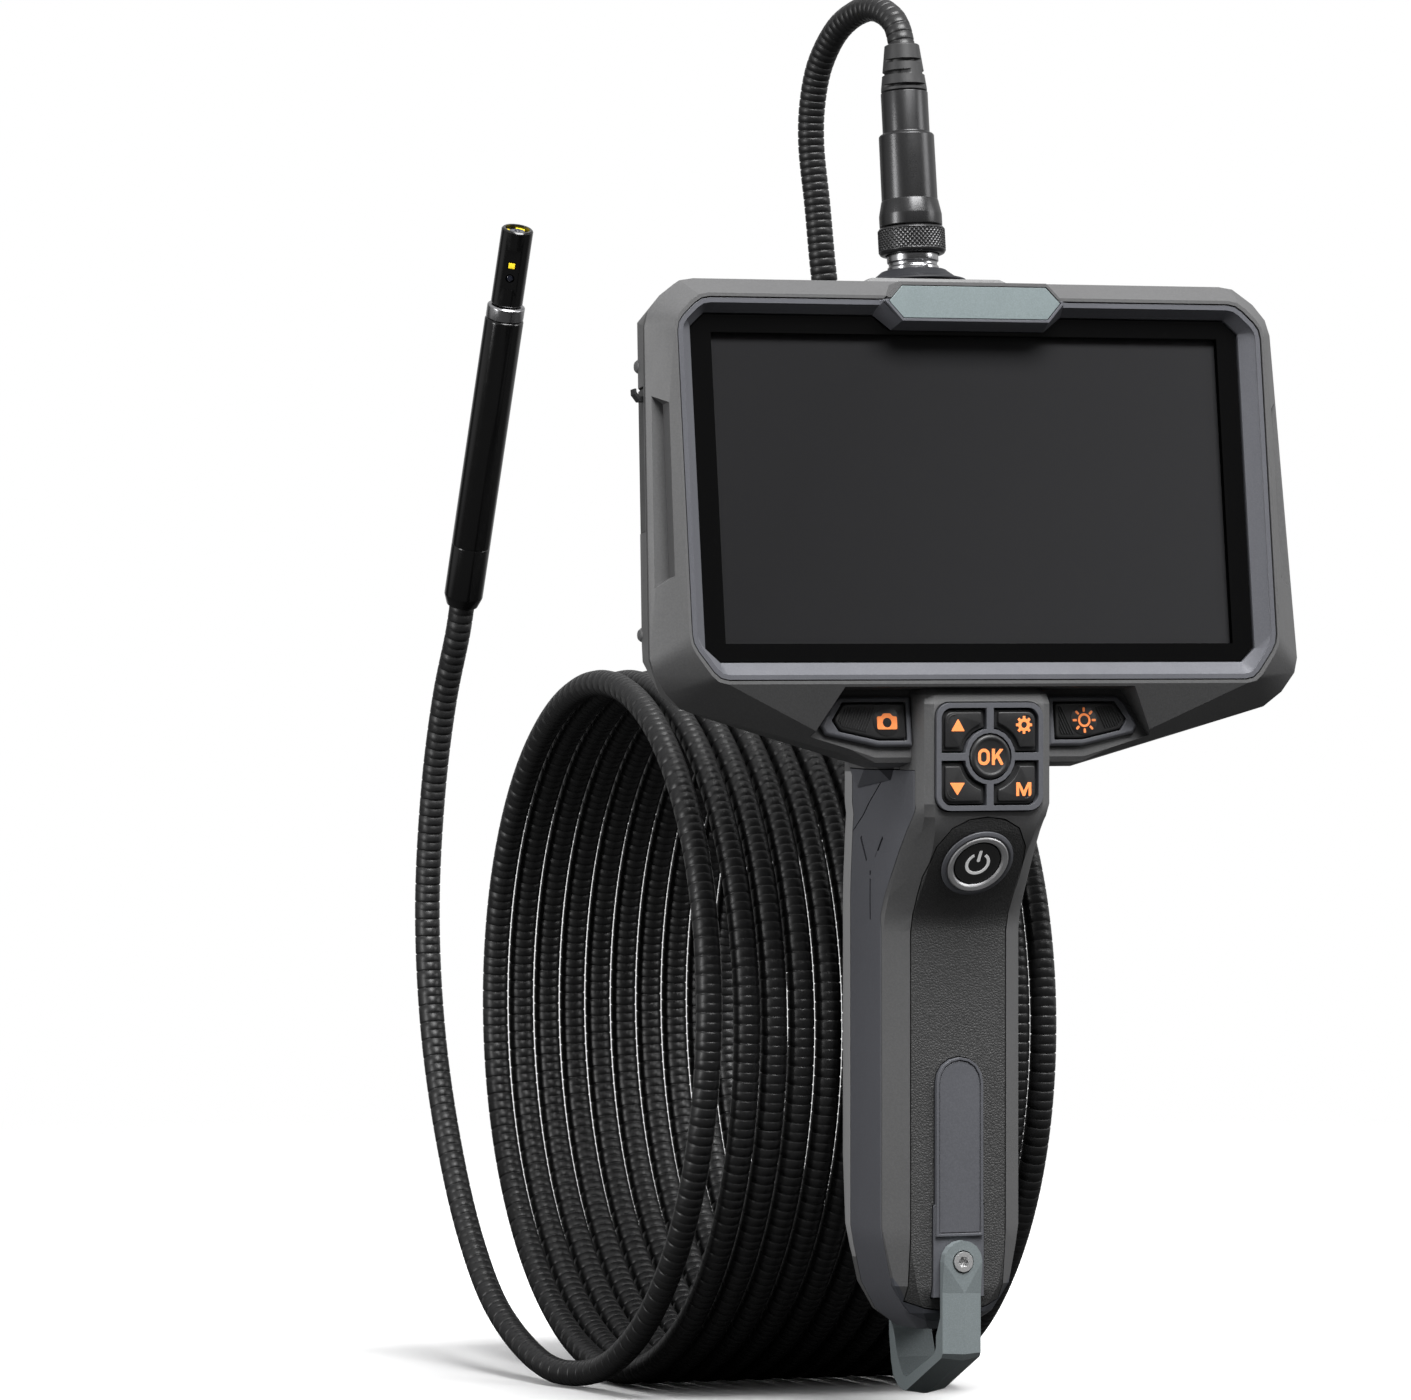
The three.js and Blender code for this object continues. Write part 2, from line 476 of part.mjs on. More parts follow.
// ================================================================ display
function screenTrim() {
  const mouth = offset(TRIM, -1.0);
  const glassEdge = offset(GLASS, 0.3);
  const slope = hull([...atY(glassEdge, -0.5), ...atY(mouth, -2.72), ...atY(mouth, -4)]);
  const ring = prism(TRIM, 'y', -3.0, 0.9).cut(slope, prism(glassEdge, 'y', -4, 4));
  // wedge below the badge, with the lower part of the badge's rim
  const wedge = hull(symmetric([
    [16.7, -0.35, 31.4], [20.6, -0.35, 34.4], [20.6, -0.35, 36.6], [19.9, -0.35, 37.0],
    [16.05, -4.1, 32.62], [19.75, -4.1, 36.5], [19.5, -4.1, 37.0], [19.75, -4.1, 36.75],
  ]));
  const rim = badgeRim(-4.1).and(box(-30, 30, -10, 10, 30, 37.0));
  return ring.add(wedge.add(rim).cut(badgeHole(-3.95)));
}
put(headGroup, 'screen_trim', screenTrim(), 'trim');
put(headGroup, 'screen_glass', prism(GLASS, 'y', 0, GLASS_T), 'glass');
put(headGroup, 'lcd_panel',
  box(-LCD_W / 2, LCD_W / 2, LCD_Y, LCD_Y + LCD_T, -LCD_H / 2, LCD_H / 2), 'lcd');
put(headGroup, 'badge_plate', prism(BADGE, 'y', -4.65, -4.05), 'badge');
// components on the boards: [x0, x1, y0, y1, z0, z1]
const MAIN_CHIPS = [
  [-20, -6, 7.8, 9.2, -4, 10], [4, 14, 7.8, 9.0, -2, 8], [20, 34, 7.8, 9.6, 8, 16],
  [-44, -34, 7.8, 10.2, -22, -12], [-8, 8, 7.8, 10.6, -29, -24], [24, 44, 5.2, 6.4, -20, -14],
];
put(headGroup, 'main_board',
  box(-52, 52, 6.3, 7.9, -31, 29).add(...MAIN_CHIPS.map((chip) => box(...chip))), 'pcb');

// ================================================================ side keys
for (const [side, keyName, place] of [
  ['left', 'key_photo', mirror],
  ['right', 'key_light', (outline) => outline],
]) {
  const trim = place(KEY_TRIM), key = place(SIDE_KEY);
  const frame = hull([...atY(trim, 3.7), ...atY(offset(trim, -0.5), 2.8), ...atY(trim, 3.2)]);
  put(headGroup, `key_trim_${side}`, frame.cut(prism(offset(key, 0.3), 'y', 0, 6)), 'frame');
  put(headGroup, keyName,
    hull([...atY(key, 3.0), ...atY(offset(key, -0.6), 2.5), ...atY(key, 6.4)]), 'key');
}

// ================================================================ keypad on the pod
const FRAME_FRONT = KEYPAD_Y - 0.4, FRAME_BACK = KEYPAD_Y + 1.7;
const keypadRod = (r) => rodY(r, PAD_CENTRE, -40, 0, 20);
function keypadFrame() {
  const bar = 0.75;   // half width of the cross bars
  const windows = prism(keypadOutline(1.0, 2.2), 'y', -40, 0).cut(
    box(-bar, bar, -40, 0, 90, 130),
    box(-20, 20, -40, 0, KEYPAD_Z - bar, KEYPAD_Z + bar), keypadRod(5.5));
  return prism(keypadOutline(0, 3.0), 'y', FRAME_FRONT, FRAME_BACK).cut(windows, keypadRod(4.68));
}
// One quarter of the pad outline, `inner` away from both centre lines and clear of the middle key.
function cornerKey(sx, sz, { inset, r, inner, hole, front, back }) {
  const quadrant = box(
    sx > 0 ? inner : -20, sx > 0 ? 20 : -inner, -40, 0,
    sz > 0 ? KEYPAD_Z + inner : 80, sz > 0 ? 140 : KEYPAD_Z - inner);
  return prism(keypadOutline(inset, r), 'y', front, back).and(quadrant).cut(keypadRod(hole));
}
const KEY_BODY = {
  inset: 1.3, r: 1.9, inner: 1.05, hole: 5.8, front: FRAME_FRONT - 0.05, back: -22.0,
};
const KEY_CAP = {
  inset: 1.8, r: 1.4, inner: 1.55, hole: 6.3, front: FRAME_FRONT - 0.4, back: -23.0,
};
put(root, 'keypad_frame', keypadFrame(), 'frame');
for (const [name, sx, sz] of [
  ['key_up', -1, 1], ['key_settings', 1, 1], ['key_down', -1, -1], ['key_menu', 1, -1],
]) {
  put(root, name, cornerKey(sx, sz, KEY_BODY).add(cornerKey(sx, sz, KEY_CAP)), 'key');
}
put(root, 'key_ok', faceFront(turned([
  [0, 0], [4.35, 0], [4.35, 3.7], [4.1, 4.2], [3.5, 4.35], [3.3, 4.15], [0, 4.0],
], 20), 0, -22.2, KEYPAD_Z), 'key');
const KEY_CHIPS = [   // [x0, x1, z0, z1]
  [-1.5, 1.5, KEYPAD_Z - 1.5, KEYPAD_Z + 1.5],
  [-7.5, -5, 117, 119], [5, 7.5, 117, 119], [-7.5, -5, 107, 109], [5, 7.5, 107, 109],
];
put(root, 'key_board', box(-10.4, 10.4, -20.2, -19.2, 105.0, 119.6)
  .add(...KEY_CHIPS.map(([x0, x1, z0, z1]) => box(x0, x1, -20.9, -20.1, z0, z1))), 'pcb');

// ================================================================ power button
const power = new THREE.Group();
power.position.set(...POWER_AT);
power.rotation.x = POWER_TURN;
root.add(power);
put(power, 'power_bezel', tube(6.75, POWER_BEZEL_R, -1.3, 0.45, 24), 'black');
put(power, 'power_ring', turned([
  [5.05, -1.3], [6.5, -1.3], [6.5, 0.5], [6.2, 0.8], [5.3, 0.8], [5.05, 0.55], [5.05, -1.3],
]), 'steel');
put(power, 'power_button',
  turned([[0, -3.4], [4.75, -3.4], [4.75, 0.3], [4.5, 0.55], [0, 0.65]]), 'black');
put(power, 'power_switch', box(-2.6, 2.6, -2.6, 2.6, -6.6, -4.4), 'pcb');

// ================================================================ grip
function gripPad() {
  const skin = handleOuter.cut(moved(handleOuter, shift(0, PAD_T, 0)));
  const powerOpening = moved(cylinder(7.45, -6, 12), powerMatrix);
  // the bed again, 12 mm further back, so the opening goes right through
  const inlayOpening = inlayBed.add(moved(inlayBed, shift(0, 12, 0)));
  return prism(PAD, 'y', -40, 20).and(skin).cut(powerOpening, inlayOpening);
}
function inlayPlate() {
  // a shallow sunk field, with a deeper groove along its edge
  const groove = prism(offset(INLAY_TOP, -0.5), 'y', -40, -12.2)
    .cut(prism(offset(INLAY_TOP, -0.75), 'y', -41, 0))
    .add(prism(offset(INLAY_TOP, -0.7), 'y', -40, -12.35));
  return prism(INLAY, 'y', -11.95, -10.2)
    .add(prism(INLAY_TOP, 'y', -12.55, -10.4))
    .cut(groove, rodY(1.6, PIVOT, -20, 0));
}
put(root, 'grip_pad', gripPad(), 'rubber');
put(root, 'inlay_plate', inlayPlate(), 'frame');

// ================================================================ bail
const BAIL_R = 4.2;   // ear radius and half width of the strap
// side outlines, [y, z]
const BAIL_OUTER = [
  [-14.0, 20], [-14.0, -4.6], [-13.2, -5.9], [3.2, -13.6], [5.0, -13.8],
  [7.4, -13.1], [10.2, -11.0], [11.4, -7.6], [12.3, -2.2], [12.3, 20],
];
const BAIL_INNER = [
  [-12.15, 25], [-12.15, 2.6], [-10.2, -1.2], [-10.2, -3.4], [-9.2, -4.9], [3.4, -10.2],
  [5.0, -9.9], [7.6, -6.6], [9.0, -2.4], [9.6, -1.0], [10.75, 0.4], [10.75, 25],
];
// Round ear on the pivot: y of its outer face, of the strap's edges below it, and of its inside.
function bailEar(face, edge, inner) {
  const foot = 7.49;
  const arc = [...Array(13).keys()].flatMap((i) => {
    const angle = i * Math.PI / 12;
    return [face, inner]
      .map((y) => [BAIL_R * Math.cos(angle), y, PIVOT_Z + BAIL_R * Math.sin(angle)]);
  });
  return hull([...arc, [-BAIL_R, edge, foot], [BAIL_R, edge, foot], [0.3, face, foot],
    [-BAIL_R, inner, foot], [BAIL_R, inner, foot]]);
}
function bail() {
  const front = new THREE.Shape();
  front.moveTo(-BAIL_R, PIVOT_Z);
  front.lineTo(-BAIL_R, -20);
  front.lineTo(BAIL_R, -20);
  front.lineTo(BAIL_R, PIVOT_Z);
  front.absarc(0, PIVOT_Z, BAIL_R, 0, Math.PI);
  front.closePath();
  // the outer face comes to a ridge near the middle
  const strap = hull([...atX(BAIL_OUTER, 0.3), ...atX(offset(BAIL_OUTER, -0.75), -4.3),
    ...atX(offset(BAIL_OUTER, -0.8), 4.3)]).and(box(-9, 9, -20, 20, -20, 7.5));
  return strap.add(bailEar(-14.0, -13.25, -11.5), bailEar(12.3, 11.55, 10.0))
    .cut(prism(BAIL_INNER, 'x', -11, 11))
    .and(prism(front, 'y', -30, 30))
    .cut(rodY(1.5, PIVOT, -30, 30), rodY(2.35, PIVOT, -30, -13.2), rodY(2.35, PIVOT, 11.5, 30));
}
put(root, 'bail', bail(), 'metal');
put(root, 'bail_axle', rodY(1.2, PIVOT, -13.6, 11.3).add(rodY(2.05, PIVOT, -14.3, -13.45))
  .cut(prism(hexagon(1.15, ...PIVOT), 'y', -20, -13.3)), 'steel');
put(root, 'bail_nut', rodY(2.05, PIVOT, 11.75, 12.7).cut(rodY(0.8, PIVOT, 12.3, 20)), 'steel');

// ================================================================ connector
const connector = new THREE.Group();
connector.position.set(0, CONN_BACK, 0);
headGroup.add(connector);
function connectorSocket() {
  const pins = [0, 1, 2, 3].map((i) => moved(cylinder(0.35, 43.5, 48.3, 8),
    shift(1.5 * Math.cos(i * QUARTER), 1.5 * Math.sin(i * QUARTER), 0)));
  const stub = moved(cylinder(0.65, 4.9, 5.65, 10), shift(0, 0, 47.55)
    .multiply(new THREE.Matrix4().makeRotationZ(4 * DEG)).multiply(turnX(QUARTER)));
  return turned([
    [0, 38.5], [6.8, 38.5], [6.8, 41.3], [5.15, 41.3], [5.15, 47.9], [4.85, 48.1],
    [4.85, 48.5], [5.15, 48.7], [5.15, 53.1], [3.65, 53.1], [3.65, 44], [0, 44],
  ], 20).add(...pins, stub);
}
put(connector, 'connector_collar', turned([
  [5.35, 44.2], [10.6, 44.2], [10.6, 44.7], [7.0, 46.5], [5.7, 46.9], [5.35, 46.9], [5.35, 44.2],
]), 'frame');
put(connector, 'connector_socket', connectorSocket(), 'chrome');
put(connector, 'plug_body', turned([
  [0, 51.3], [2.6, 51.3], [2.6, 46.6], [3.3, 46.6], [3.3, 53.45], [5.1, 53.5], [5.1, 54.2],
  [4.3, 54.3], [4.3, 55.85], [6.25, 55.95], [6.3, 58.4], [5.7, 61.2], [5.6, 61.3],
  [5.55, 74.3], [5.25, 74.6], [4.72, 74.7], [4.72, 83.1], [2.9, 83.1], [2.9, 78], [0, 78],
], 20), 'black');
put(connector, 'coupling_ring', turned([
  [5.45, 50.3], [6.25, 50.3], [6.75, 51.0], [6.75, 55.2], [6.5, 55.65],
  [4.6, 55.65], [4.6, 54.55], [5.45, 54.45], [5.45, 50.3],
]), 'black');
put(connector, 'strain_relief', turned([
  [3.0, 83.35], [4.6, 83.35], [4.5, 84.6], [3.45, 92.8], [3.0, 92.8], [3.0, 83.35],
], 16), 'rubber');

// ================================================================ cable
const COIL_R = 71.2, COIL_PITCH = 5.84, COIL_TILT = 3.2 * DEG;
const COIL_AT = [2.1, 87.6, 56.5], COIL_TURNS = 12.375;
const PLUG_HEIGHTS = [79.5, 84, 88.5, 92.4];   // cable points up the connector's axis
const LEAD = [   // from the plug over and down to the coil
  [-0.5, 16.9, 260.6], [-1.9, 25.0, 263.9], [-4.2, 34.6, 260.9], [-5.8, 41.0, 253.6],
  [-6.4, 43.6, 245.6], [-6.3, 44.4, 237.4], [-5.4, 43.4, 225.0], [-4.4, 42.0, 209.3],
  [-1.4, 42.2, 192], [5, 45.2, 174], [14, 49.6, 157], [23.4, 52.0, 141], [30.4, 50.3, 127.2],
];
const TAIL = [   // from the coil up to the probe
  [-42.2, 96, -14.2], [-42.2, 123, -4.6], [-42, 138.5, 9], [-42, 150.6, 27.9],
  [-42, 160.0, 52], [-42, 163.4, 78], [-42, 160.1, 104], [-42, 153.6, 124],
];
const coilAxis = new THREE.Vector3(Math.cos(COIL_TILT), -Math.sin(COIL_TILT), 0);
const coilSide = new THREE.Vector3(Math.sin(COIL_TILT), Math.cos(COIL_TILT), 0);
const probeBase = new THREE.Vector3(...PROBE_BASE);
const probeAxis = new THREE.Vector3(...PROBE_TIP).sub(probeBase).normalize();

function coilPoint(angle) {
  const turns = angle / (2 * Math.PI);
  const ease = Math.max(0, 1 - turns / 0.55);   // the first half turn swings out to the left
  const along = COIL_PITCH * (turns - 6.5) - 2.9 * ease * ease * (3 - 2 * ease) - 1.2 * ease;
  return new THREE.Vector3(...COIL_AT)
    .addScaledVector(coilAxis, along)
    .addScaledVector(coilSide, -Math.sin(angle) * COIL_R)
    .add(new THREE.Vector3(0, 0, -Math.cos(angle) * COIL_R));
}
// Sweeps through the curve's parameters listed in `stations`, one per step.
class StationCurve extends THREE.Curve {
  constructor(curve, stations) {
    super();
    this.curve = curve;
    this.stations = stations;
  }
  parameter(u) { return this.stations[Math.round(u * (this.stations.length - 1))]; }
  getPointAt(u, target) { return this.curve.getPoint(this.parameter(u), target); }
  getTangentAt(u, target) { return this.curve.getTangent(this.parameter(u), target); }
}
function insertionCable() {
  const vector = (p) => new THREE.Vector3(...p);
  const points = PLUG_HEIGHTS
    .map((z) => new THREE.Vector3(0, CONN_BACK, z).applyMatrix4(headGroup.matrix));
  const coilEnd = 2 * Math.PI * COIL_TURNS;
  points.push(...LEAD.map(vector), coilPoint(coilEnd + 0.12));
  const leadCount = points.length;
  for (let angle = coilEnd - 0.12; angle > 0.10; angle -= Math.PI / 12) {
    points.push(coilPoint(angle));
  }
  const coilCount = points.length;
  points.push(...TAIL.map(vector));
  points.push(...[-6, 1, 7].map((s) => probeBase.clone().addScaledVector(probeAxis, s)));

  const spans = points.length - 1;
  const stations = [];   // extra steps between the points of the lead and the tail
  for (let i = 0; i < spans; i++) {
    const steps = i < 3 ? 1 : i < leadCount ? 3 : i < coilCount - 1 ? 1 : 2;
    for (let j = 0; j < steps; j++) stations.push((i + j / steps) / spans);
  }
  stations.push(1);
  const smooth = new THREE.CatmullRomCurve3(points, false, 'centripetal');
  return solid(new THREE.ExtrudeGeometry(shapeOf(hexagon(CABLE_R)), {
    steps: stations.length - 1,
    bevelEnabled: false,
    extrudePath: new StationCurve(smooth, stations),
  }));
}
put(root, 'insertion_cable', insertionCable(), 'cable');

// ================================================================ probe
// Probe frame: z along the probe to its tip, the side camera looks along -y.
const SIDE_CAMERA_Z = 74.0;
const probe = new THREE.Group();
const sideLook = new THREE.Vector3(-0.4067, -0.9135, 0);
sideLook.addScaledVector(probeAxis, -sideLook.dot(probeAxis)).normalize();
const probeY = sideLook.clone().negate();
const probeX = new THREE.Vector3().crossVectors(probeY, probeAxis);
probe.quaternion.setFromRotationMatrix(
  new THREE.Matrix4().makeBasis(probeX, probeY, probeAxis));
probe.position.copy(probeBase);
root.add(probe);

function probeHead() {
  return turned([
    [0, 71.0], [0.9, 71.0], [0.9, 67.6], [3.15, 67.6], [PROBE_HEAD_R, 67.9],
    [PROBE_HEAD_R, 83.9], [3.05, 84.2], [2.6, 84.2], [2.6, 72.2], [0, 72.2],
  ], 20).cut(
    box(-4, 4, -6, -2.95, 71.6, 80.2),                          // flat on the side
    faceFront(cylinder(0.95, 0, 6, 16), 0, 0, SIDE_CAMERA_Z),   // side lens opening
    box(-0.85, 0.85, -6, 0, 76.0, 77.6));                       // side LED opening
}
put(probe, 'probe_body', turned([
  [2.85, 0], [3.3, 0], [PROBE_R, 2.2], [PROBE_R, 64.0], [3.8, 64.4], [3.2, 64.4],
  [3.2, 30], [0, 30], [0, 8], [2.85, 8], [2.85, 0],
], 18), 'black');
put(probe, 'probe_ring', turned([
  [1.0, 64.7], [3.85, 64.7], [3.95, 65.0], [3.95, 67.0], [3.75, 67.3], [1.0, 67.3], [1.0, 64.7],
], 18), 'steel');
put(probe, 'probe_motor', cylinder(2.9, 40, 60, 14), 'steel');
put(probe, 'motor_shaft', cylinder(0.6, 60.3, 70.4, 10), 'steel');
put(probe, 'probe_head', probeHead(), 'black');
put(probe, 'front_camera', cylinder(1.9, 79.5, 82.6, 14), 'black');
put(probe, 'front_led_ring', tube(1.25, 2.35, 82.9, 83.6, 16), 'led');
put(probe, 'front_lens', cylinder(1.0, 82.9, 83.9, 14), 'lens');
put(probe, 'side_camera', cylinder(1.5, 72.5, 75.4, 16), 'black');
put(probe, 'side_lens', faceFront(cylinder(0.7, 2.0, 2.85, 16), 0, 0, SIDE_CAMERA_Z), 'lens');
put(probe, 'side_led', box(-0.6, 0.6, -2.85, -1.8, 76.25, 77.35), 'led');

// ================================================================ side ports
const coverHook = prism([   // hooked strip at the cover's top end
  [-70.4, 19.9], [-70.0, 19.9], [-69.95, 19.2], [-69.3, 18.4],
  [-68.1, 18.4], [-68.1, 17.4], [-69.35, 17.4], [-70.4, 18.8],
], 'y', 3.9, 5.9);
put(headGroup, 'port_cover', leaf({
  outer: [-68.45, -67.35], inner: [-67.9, -66.8], y: [3.7, 9.1], z: [-8.0, 20.0],
}).add(coverHook), 'rubber');
put(headGroup, 'usb_port', box(-66.6, -61.0, 5.3, 8.1, 10.0, 18.7)
  .cut(box(-80, -62.5, 5.8, 7.6, 10.6, 18.1)), 'steel');
put(headGroup, 'card_slot', box(-64.3, -54.5, 5.1, 8.0, -7.4, 7.6)
  .cut(box(-80, -55.2, 5.9, 7.1, -5.6, 5.8)), 'steel');
put(headGroup, 'memory_card', box(-67.2, -56.0, 6.15, 6.85, -5.3, 5.5), 'black');

// ================================================================ inside the handle
put(root, 'battery_pack', prism(roundRect(11.4, 6.6, 2.6, 0, -0.2), 'z', 21, 87), 'cell');

// ================================================================ case screws
// cross-slotted head at the back, shank running forward
const caseScrew = cylinder(2.05, 0, 1.8, 12)
  .cut(box(-0.3, 0.3, -1.4, 1.4, -1, 0.8), box(-1.4, 1.4, -0.3, 0.3, -1, 0.8))
  .add(cylinder(1.05, 1.6, 8.2, 8));
CASE_SCREWS.forEach(([x, z], i) => {
  put(headGroup, `case_screw_${i + 1}`, faceFront(caseScrew, x, 12.7, z), 'steel');
});

export default root;
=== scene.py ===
# Handheld inspection camera. A screen head on a handle faces -Y and leans back; a gooseneck
# cable leaves the top of the head, coils behind the handle and ends in a probe that stands
# at -X. +Z is up. Shapes are in millimetres; shaders, lights and the camera are in metres.
import math
import bmesh
import bpy
import numpy as np
from mathutils import Matrix, Vector


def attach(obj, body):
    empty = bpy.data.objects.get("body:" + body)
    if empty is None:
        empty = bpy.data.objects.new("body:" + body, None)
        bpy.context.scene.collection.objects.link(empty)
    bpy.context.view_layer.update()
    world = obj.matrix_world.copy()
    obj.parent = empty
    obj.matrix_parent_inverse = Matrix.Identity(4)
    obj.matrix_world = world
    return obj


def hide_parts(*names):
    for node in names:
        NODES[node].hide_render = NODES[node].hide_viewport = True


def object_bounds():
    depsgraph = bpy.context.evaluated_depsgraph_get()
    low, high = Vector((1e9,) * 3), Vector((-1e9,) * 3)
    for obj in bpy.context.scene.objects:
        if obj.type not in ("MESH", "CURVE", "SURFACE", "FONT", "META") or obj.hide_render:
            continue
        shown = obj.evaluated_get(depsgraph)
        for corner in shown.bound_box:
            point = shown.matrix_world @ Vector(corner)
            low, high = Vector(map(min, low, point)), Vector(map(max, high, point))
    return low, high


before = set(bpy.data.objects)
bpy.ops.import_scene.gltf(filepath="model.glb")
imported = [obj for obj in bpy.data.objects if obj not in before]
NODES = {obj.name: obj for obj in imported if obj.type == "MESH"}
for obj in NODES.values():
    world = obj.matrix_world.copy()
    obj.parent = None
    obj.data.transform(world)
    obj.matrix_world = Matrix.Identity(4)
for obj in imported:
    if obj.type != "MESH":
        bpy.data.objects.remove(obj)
CAD_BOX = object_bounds()
MM = 0.001


# ---------------------------------------------------------------- frames of the parts (mm)
def axes_matrix(x_axis, y_axis, z_axis, origin):
    matrix = Matrix((x_axis, y_axis, z_axis)).transposed().to_4x4()
    matrix.translation = origin
    return matrix


def probe_frame():
    """Origin at the foot of the probe, local z along it, local -y to its front."""
    foot = Vector((-42, 143.9, 143.9))
    head = Vector((-42, 113.7, 221.7))
    axis = (head - foot).normalized()
    front = Vector((-0.4067, -0.9135, 0))
    front = (front - axis * front.dot(axis)).normalized()
    return axes_matrix((-front).cross(axis), -front, axis, foot)


TILT = math.radians(6.83)
HEAD_AT = (0, -19.0, 166.4)
HEAD = Matrix.Translation(HEAD_AT) @ Matrix.Rotation(-TILT, 4, "X")
CONNECTOR = HEAD @ Matrix.Translation((0, 22.8, 0))
POWER_AT = (0, -20.2, 92.8)
POWER_LEAN = 34                 # degrees the power button faces down
POWER = Matrix.Translation(POWER_AT) @ Matrix.Rotation(math.radians(90 + POWER_LEAN), 4, "X")
PROBE = probe_frame()
FRONT = Matrix.Rotation(math.pi / 2, 4, "X")    # drawing plane (x, z); local z points to -Y
KEYPAD_Z = 113.8
KEYPAD = Matrix.Translation((0, 0, KEYPAD_Z)) @ FRONT
HEAD_FRONT = HEAD @ FRONT


# ---------------------------------------------------------------- shader building
class Shader:
    """Short calls for the nodes of one material or world."""

    SOCKETS = {
        "color": "Base Color", "roughness": "Roughness", "normal": "Normal",
        "metallic": "Metallic", "coat": "Coat Weight", "coat_roughness": "Coat Roughness",
        "specular": "Specular IOR Level", "sheen": "Sheen Weight",
    }

    def __init__(self, owner, coords="Object"):
        self.owner = owner
        self.nodes = owner.node_tree.nodes
        self.coords = self.add("TexCoord").outputs[coords]

    def feed(self, socket, value):
        """Links a socket, or sets it to a number, colour or vector."""
        if isinstance(value, bpy.types.NodeSocket):
            self.owner.node_tree.links.new(value, socket)
        elif isinstance(value, tuple):
            socket.default_value = (*value, 1)[:len(socket.default_value)]
        else:
            socket.default_value = value

    def add(self, kind, inputs=None, **settings):
        node = self.nodes.new("ShaderNode" + kind)
        for key, value in settings.items():
            setattr(node, key, value)
        for key, value in (inputs or {}).items():
            self.feed(node.inputs[key], value)
        return node

    def axes(self, vector=None):
        return self.add("SeparateXYZ", {0: vector or self.coords}).outputs

    def noise(self, scale, detail=3, roughness=0.55, distortion=0.0, stretch=None):
        vector = self.coords
        if stretch:
            mapping = self.add("Mapping", {"Scale": stretch, "Vector": vector})
            vector = mapping.outputs["Vector"]
        return self.add("TexNoise", {
            "Vector": vector, "Scale": scale, "Detail": detail,
            "Roughness": roughness, "Distortion": distortion}).outputs["Fac"]

    def voronoi(self, scale, feature="F1", randomness=1.0):
        return self.add("TexVoronoi", {
            "Vector": self.coords, "Scale": scale, "Randomness": randomness},
            feature=feature).outputs["Distance"]

    def ramp(self, value, *stops):
        """Stops are (position, grey level or colour), in rising order."""
        node = self.add("ValToRGB", {"Fac": value})
        elements = node.color_ramp.elements
        rgba = lambda c: (*c, 1) if isinstance(c, tuple) else (c, c, c, 1)
        for element, (position, level) in zip(elements, (stops[0], stops[-1])):
            element.position = position
            element.color = rgba(level)
        for position, level in stops[1:-1]:
            elements.new(position).color = rgba(level)
        return node.outputs["Color"]

    def math(self, operation, first, second=0.5, clamp=False):
        return self.add("Math", {0: first, 1: second}, operation=operation,
                        use_clamp=clamp).outputs[0]

    def mix(self, factor, first, second, **settings):
        node = self.add("Mix", data_type="RGBA", **settings)
        for index, value in ((0, factor), (6, first), (7, second)):
            self.feed(node.inputs[index], value)
        return node.outputs[2]

    def remap(self, value, low=0.0, high=1.0, start=0.0, end=1.0, **settings):
        """Takes start..end to low..high."""
        return self.add("MapRange", {
            "Value": value, "From Min": start, "From Max": end,
            "To Min": low, "To Max": high}, **settings).outputs["Result"]

    def bump(self, height, strength, distance):
        return self.add("Bump", {
            "Strength": strength, "Distance": distance, "Height": height}).outputs["Normal"]

    def mix_shader(self, factor, first, second):
        return self.add("MixShader", {0: factor, 1: first, 2: second}).outputs[0]

    def principled(self):
        return self.nodes["Principled BSDF"]

    def surface(self, coat_roughness=0.1, **values):
        values["coat_roughness"] = coat_roughness
        for key, value in values.items():
            self.feed(self.principled().inputs[self.SOCKETS[key]], value)
        return self.owner

    def output(self, source):
        self.feed(self.nodes["Material Output"].inputs["Surface"], source)
        return self.owner


def new_shader(name):
    material = bpy.data.materials.new(name)
    material.use_nodes = True
    return Shader(material)


def tint(color, factor):
    return tuple(min(1.0, x * factor) for x in color)


# ---------------------------------------------------------------- kinds of surface
def moulded(name, color, roughness, grain=2600, relief=0.22, depth=0.00006,
            metallic=0.0, specular=0.5, flake=0.0):
    """Moulded or painted surface: fine grain, slow colour drift, faint scuffs."""
    shader = new_shader(name)
    drift = shader.noise(38)
    fine = shader.noise(grain, detail=2, roughness=0.7)
    scuff = shader.noise(260, detail=4, roughness=0.6, stretch=(1, 1, 0.25))
    mixed = shader.mix(shader.remap(drift), tint(color, 0.9), tint(color, 1.1))
    mixed = shader.mix(shader.ramp(fine, (0.38, 0.0), (0.72, 0.55)), mixed, tint(color, 1.35))
    if flake:
        flakes = shader.ramp(shader.voronoi(5200), (0.0, flake), (0.28, 0.0))
        mixed = shader.mix(flakes, mixed, tint(color, 2.4))
    worn = shader.math("ADD", shader.remap(scuff, roughness - 0.07, roughness + 0.08),
                       shader.remap(fine, -0.03, 0.04))
    return shader.surface(
        color=mixed, roughness=worn, normal=shader.bump(fine, relief, depth),
        metallic=metallic, coat=0.0, coat_roughness=0.2, specular=specular)


def recolour(material, color, mask):
    """Paints part of a finished material; mask(shader, abs x, z) is 1 on that part."""
    shader = Shader(material)
    x, _, z = shader.axes()
    painted = mask(shader, shader.math("ABSOLUTE", x), z)
    base = shader.principled().inputs["Base Color"]
    shader.feed(base, shader.mix(painted, base.links[0].from_socket, color))
    return material


